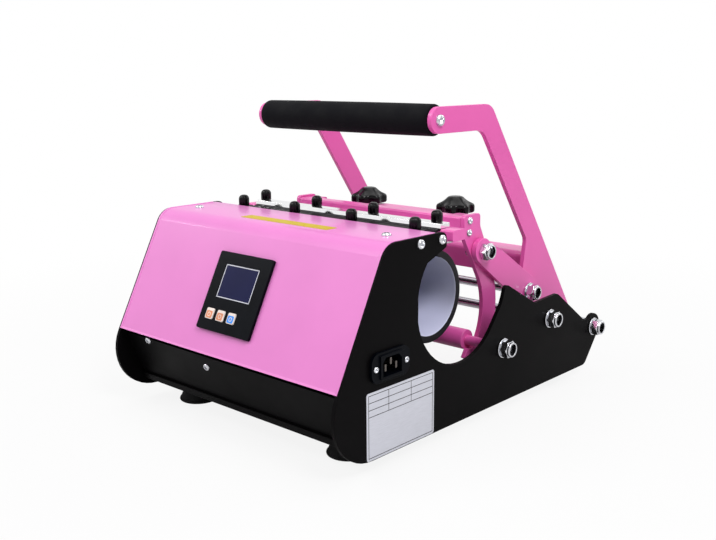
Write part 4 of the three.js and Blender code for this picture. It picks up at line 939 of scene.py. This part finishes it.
class PRESS_OT_clamp(bpy.types.Operator):
    """Coats the clamp frame and its strips, and makes their screws and star knobs"""

    bl_idname = "mug_press.clamp"
    bl_label = "Clamp frame"

    def execute(self, context):
        sizes = context.scene.press_sizes
        edge = sizes.sheet_edge
        for node, finish in (("clamp_top_bar", "steel"), ("rear_clamp_pad", "steel"), ("pad_carrier", "spring_sheet")):
            coated(node, finish, edge)
        self.rear_strip()
        coated("front_clamp_strip", "black", edge)
        front = extent("clamp_top_bar")[0][1]
        for side, sign in SIDES:
            coated(f"clamp_cheek_{side}", "steel", edge * 1.2)
            low, high, _ = extent(f"clamp_cheek_{side}")
            outer = high[0] if sign > 0 else low[0]
            for number, (setback, drop) in enumerate(((8.5, 6), (7.5, 18)), 1):
                place = (outer, front + setback * MM, high[2] - drop * MM)
                button_screw(f"cheek_screw_{side}_{number}", place, (sign, 0, 0), "clamp_frame", sizes, 0.82)
        for row, body in (("front", "frame"), ("rear", "clamp_frame")):
            for number in range(1, 5):
                self.screw_knob(f"{row}_clamp_screw_{number}", body)
        for side, _ in SIDES:
            self.star_knob(f"star_knob_{side}")
        return {"FINISHED"}

    def rear_strip(self):
        """The polished rear strip: its front face leans back, so it mirrors the bright room above."""
        low, high, _ = extent("rear_clamp_strip")
        lean = 1.5 * MM
        profile = [(low[1], low[2]), (high[1], low[2]), (high[1], high[2]), (low[1] + lean, high[2])]
        strip = make_piece("rear_strip_polished", bar_across(profile, high[0]), "polished", "clamp_frame",
                           "rear_clamp_strip")
        soften(strip, 0.5 * MM)

    def screw_knob(self, node, body):
        """A clamp screw with a moulded cap: shallow flutes round its side fade out on the dome."""
        low, high, centre = extent(node)
        radius, height, dome, shank, gap = (high[0] - low[0]) / 2 + 0.5 * MM, 12 * MM, 4.8 * MM, 2.5 * MM, 0.3 * MM
        centre[2] = high[2] - 11.5 * MM
        foot = low[2] - centre[2]
        rows = [(foot, 0), (foot, shank), (gap, shank), (gap, radius - 0.5 * MM), (0.8 * MM, radius, 1),
                (height - dome, radius, 1)]
        rows += [(height - dome + dome * math.sin(t), radius * math.cos(t) ** 0.75, math.cos(t) ** 2)
                 for t in np.linspace(0, QUARTER, 9)[1:-1]]
        rows.append((height, 0))
        make_piece(f"{node}_finish", turned(rows, centre, Z, 96, waves(0.05, 12)), "plastic", body, node)

    def star_knob(self, node):
        """A six-lobed knob: lobes flare out at the skirt and die away up the round crown.

        The ring's radius is a cosine of the angle with six waves. Each step of the profile gives
        shares of the height and the radius, and how deep the waves are.
        """
        low, high, _ = extent(node)
        radius, height = 20.8 * MM, 18 * MM
        centre = np.array(joint_of(node)["pos_m"], float)
        centre[2] = high[2] - height
        profile = ((0, 0.9, 0.95), (0.04, 0.97, 1), (0.12, 1, 1), (0.36, 1, 1), (0.45, 0.985, 0.98), (0.52, 0.94, 0.93),
                   (0.575, 0.86, 0.85), (0.62, 0.77, 0.7), (0.68, 0.67, 0.5), (0.76, 0.57, 0.28), (0.84, 0.49, 0.14),
                   (0.91, 0.43, 0.05), (0.96, 0.37, 0), (0.99, 0.28, 0), (1, 0.16, 0), (1, 0, 0))
        rows = [(0, 0)] + [(height * up, radius * out, share) for up, out, share in profile]
        grid = turned(rows, centre, Z, 144, waves(0.2, 6, math.radians(-17)))
        make_piece(f"{node}_finish", grid, "plastic", node, node, 50)
        foot, shank, washer = low[2] - centre[2], 4 * MM, 10 * MM
        rows = [(foot, 0), (foot, shank), (-1.4 * MM, shank), (-1.4 * MM, washer - 0.4 * MM), (-1.1 * MM, washer),
                (-0.3 * MM, washer), (0, washer - 0.4 * MM), (0, 0)]
        make_piece(f"{node}_stud", turned(rows, centre, Z, 48), "zinc", node)


class PRESS_OT_mat(bpy.types.Operator):
    """Makes the heating mat: its open ring in two halves and the flaps in the clamps"""

    bl_idname = "mug_press.mat"
    bl_label = "Heating mat"

    def execute(self, context):
        low, high, _ = extent("heating_mat")
        outer, thickness, flap = 45.5 * MM, 7.5 * MM, 2.4 * MM
        centre = np.array((high[1] - outer, low[2] + outer))
        core = outer - thickness / 2
        gap = math.radians(9)
        arc = np.radians(np.arange(0, 181, 2.0)) * (1 - gap / math.pi)
        strip_end = {"front": extent("front_clamp_strip")[0][1] + 2 * MM,
                     "rear": extent("rear_clamp_strip")[1][1] - 2 * MM}
        flap_top = {"front": high[2] - flap / 2, "rear": extent("mat_rear_flap")[1][2] - flap / 2}
        turns = {"front": QUARTER + gap + arc, "rear": (arc - QUARTER)[::-1]}
        for half, body, node in (("front", "frame", "heating_mat"), ("rear", None, "mat_rear_flap")):
            ring = centre + core * np.stack([np.cos(turns[half]), np.sin(turns[half])], axis=-1)
            corners = [(strip_end[half], flap_top[half]), (ring[0][0], flap_top[half]), *ring]
            path, normals, halves = self.follow(corners, thickness, flap)
            grid = strip_along(path, normals, high[0], halves, 0.9 * MM)
            piece = make_piece(f"mat_{half}_half", grid, ["mat", "lining"], body, node, 50,
                               kinds=self.inner_side(grid, centre, outer - thickness))
            if half == "rear":
                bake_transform(piece)
        return {"FINISHED"}

    def follow(self, corners, thickness, flap):
        """Path, normals and half thickness of a half of the mat.

        The corners are joined by straight lines, resampled every half millimetre and eased by a
        running mean, and the sheet grows from the flap's thickness to the ring's past the bend.
        """
        corners = np.array(corners, float)
        steps = np.linalg.norm(np.diff(corners, axis=0), axis=1)
        reach = np.concatenate([[0], np.cumsum(steps)])
        at = np.linspace(0, reach[-1], int(reach[-1] / (0.5 * MM)))
        path = np.stack([np.interp(at, reach, corners[:, k]) for k in (0, 1)], axis=-1)
        width = 7
        kernel = np.ones(width) / width
        padded = np.concatenate([np.repeat(path[:1], width // 2, 0), path, np.repeat(path[-1:], width // 2, 0)])
        eased = np.stack([np.convolve(padded[:, k], kernel, "valid") for k in (0, 1)], axis=-1)
        blend = np.clip(np.minimum(at, reach[-1] - at) / (3 * MM), 0, 1)[:, None]
        path = path * (1 - blend) + eased * blend
        tangent = np.gradient(path, axis=0)
        tangent[-1] = corners[-1] - corners[-2]
        tangent /= np.linalg.norm(tangent, axis=1, keepdims=True)
        normals = np.stack([-tangent[:, 1], tangent[:, 0]], axis=-1)
        grown = np.clip((at - reach[2]) / (7 * MM), 0, 1)
        grown = grown * grown * (3 - 2 * grown)
        return path, normals, (flap + (thickness - flap) * grown) / 2

    def inner_side(self, grid, centre, inner):
        """True for each face whose corners lie on the inner wall of the ring, clear of its rims."""
        inside = np.linalg.norm(grid[..., 1:] - centre, axis=-1) < inner + 0.5 * MM
        pairs = inside & np.roll(inside, -1, axis=1)
        return (pairs[:-1] & pairs[1:]).reshape(-1)


class PRESS_OT_handle(bpy.types.Operator):
    """Coats the arms, links and brace, and makes the foam grip and its screws"""

    bl_idname = "mug_press.handle"
    bl_label = "Handle"

    def execute(self, context):
        sizes = context.scene.press_sizes
        low, high, centre = extent("foam_grip")
        for side, sign in SIDES:
            for node in ("handle_arm", "link_plate"):
                coated(f"{node}_{side}", "steel", sizes.sheet_edge * 1.3)
            arm_low, arm_high, _ = extent(f"handle_arm_{side}")
            outer = arm_high[0] if sign > 0 else arm_low[0]
            button_screw(f"grip_screw_{side}_finish", (outer, *centre[1:]), (sign, 0, 0), "handle", sizes, 1.25,
                         f"grip_screw_{side}")
        coated("handle_brace", "steel", sizes.sheet_edge * 1.3)
        self.grip(high[0], (high[2] - low[2]) / 2, centre * (0, 1, 1))
        return {"FINISHED"}

    def grip(self, end, radius, centre):
        """A foam sleeve that swells a little between its ends, and the bar inside it."""
        core, ease, taper = 11.15 * MM, 2.2 * MM, 0.35 * MM
        swell = [(s * (end - ease), radius - taper * abs(s) ** 3) for s in np.linspace(-1, 1, 25)[1:-1]]
        rows = [(-end, core), *rounded_ends(-end, end, radius - taper, ease, 7, swell), (end, core), (-end, core)]
        sleeve = make_piece("grip_sleeve", turned(rows, centre, X, 96), "foam", "handle", "foam_grip")
        bar = turned(chamfered(extent("grip_core")[1][0], 11 * MM, 0.6 * MM), centre, X, 48)
        make_piece("grip_bar", bar, "rod", "handle", "grip_core", 30, "grip_core")


class PRESS_PT_panel(bpy.types.Panel):
    """Lists the press's operators with its sizes and colours"""

    bl_label = "Mug heat press"
    bl_idname = "PRESS_PT_panel"
    bl_space_type = "VIEW_3D"
    bl_region_type = "UI"
    bl_category = "Mug Press"

    def draw(self, context):
        for operator in OPERATORS:
            self.layout.operator(operator.bl_idname)
        for group in (context.scene.press_sizes, context.scene.press_colours):
            column = self.layout.column()
            for name in group.__annotations__:
                column.prop(group, name)


OPERATORS = (PRESS_OT_stage, PRESS_OT_box, PRESS_OT_controller, PRESS_OT_labels, PRESS_OT_inlet, PRESS_OT_feet,
             PRESS_OT_pins, PRESS_OT_clamp, PRESS_OT_mat, PRESS_OT_handle)
CLASSES = (PressSizes, PressColours, *OPERATORS, PRESS_PT_panel)


def register():
    for cls in CLASSES:
        bpy.utils.register_class(cls)
    bpy.types.Scene.press_sizes = PointerProperty(type=PressSizes)
    bpy.types.Scene.press_colours = PointerProperty(type=PressColours)


def unregister():
    del bpy.types.Scene.press_colours
    del bpy.types.Scene.press_sizes
    for cls in reversed(CLASSES):
        bpy.utils.unregister_class(cls)


def main():
    register()
    prepare_finishes(bpy.context.scene.press_colours)
    for operator in OPERATORS:
        group, name = operator.bl_idname.split(".")
        getattr(getattr(bpy.ops, group), name)()


if __name__ == "__main__":
    main()
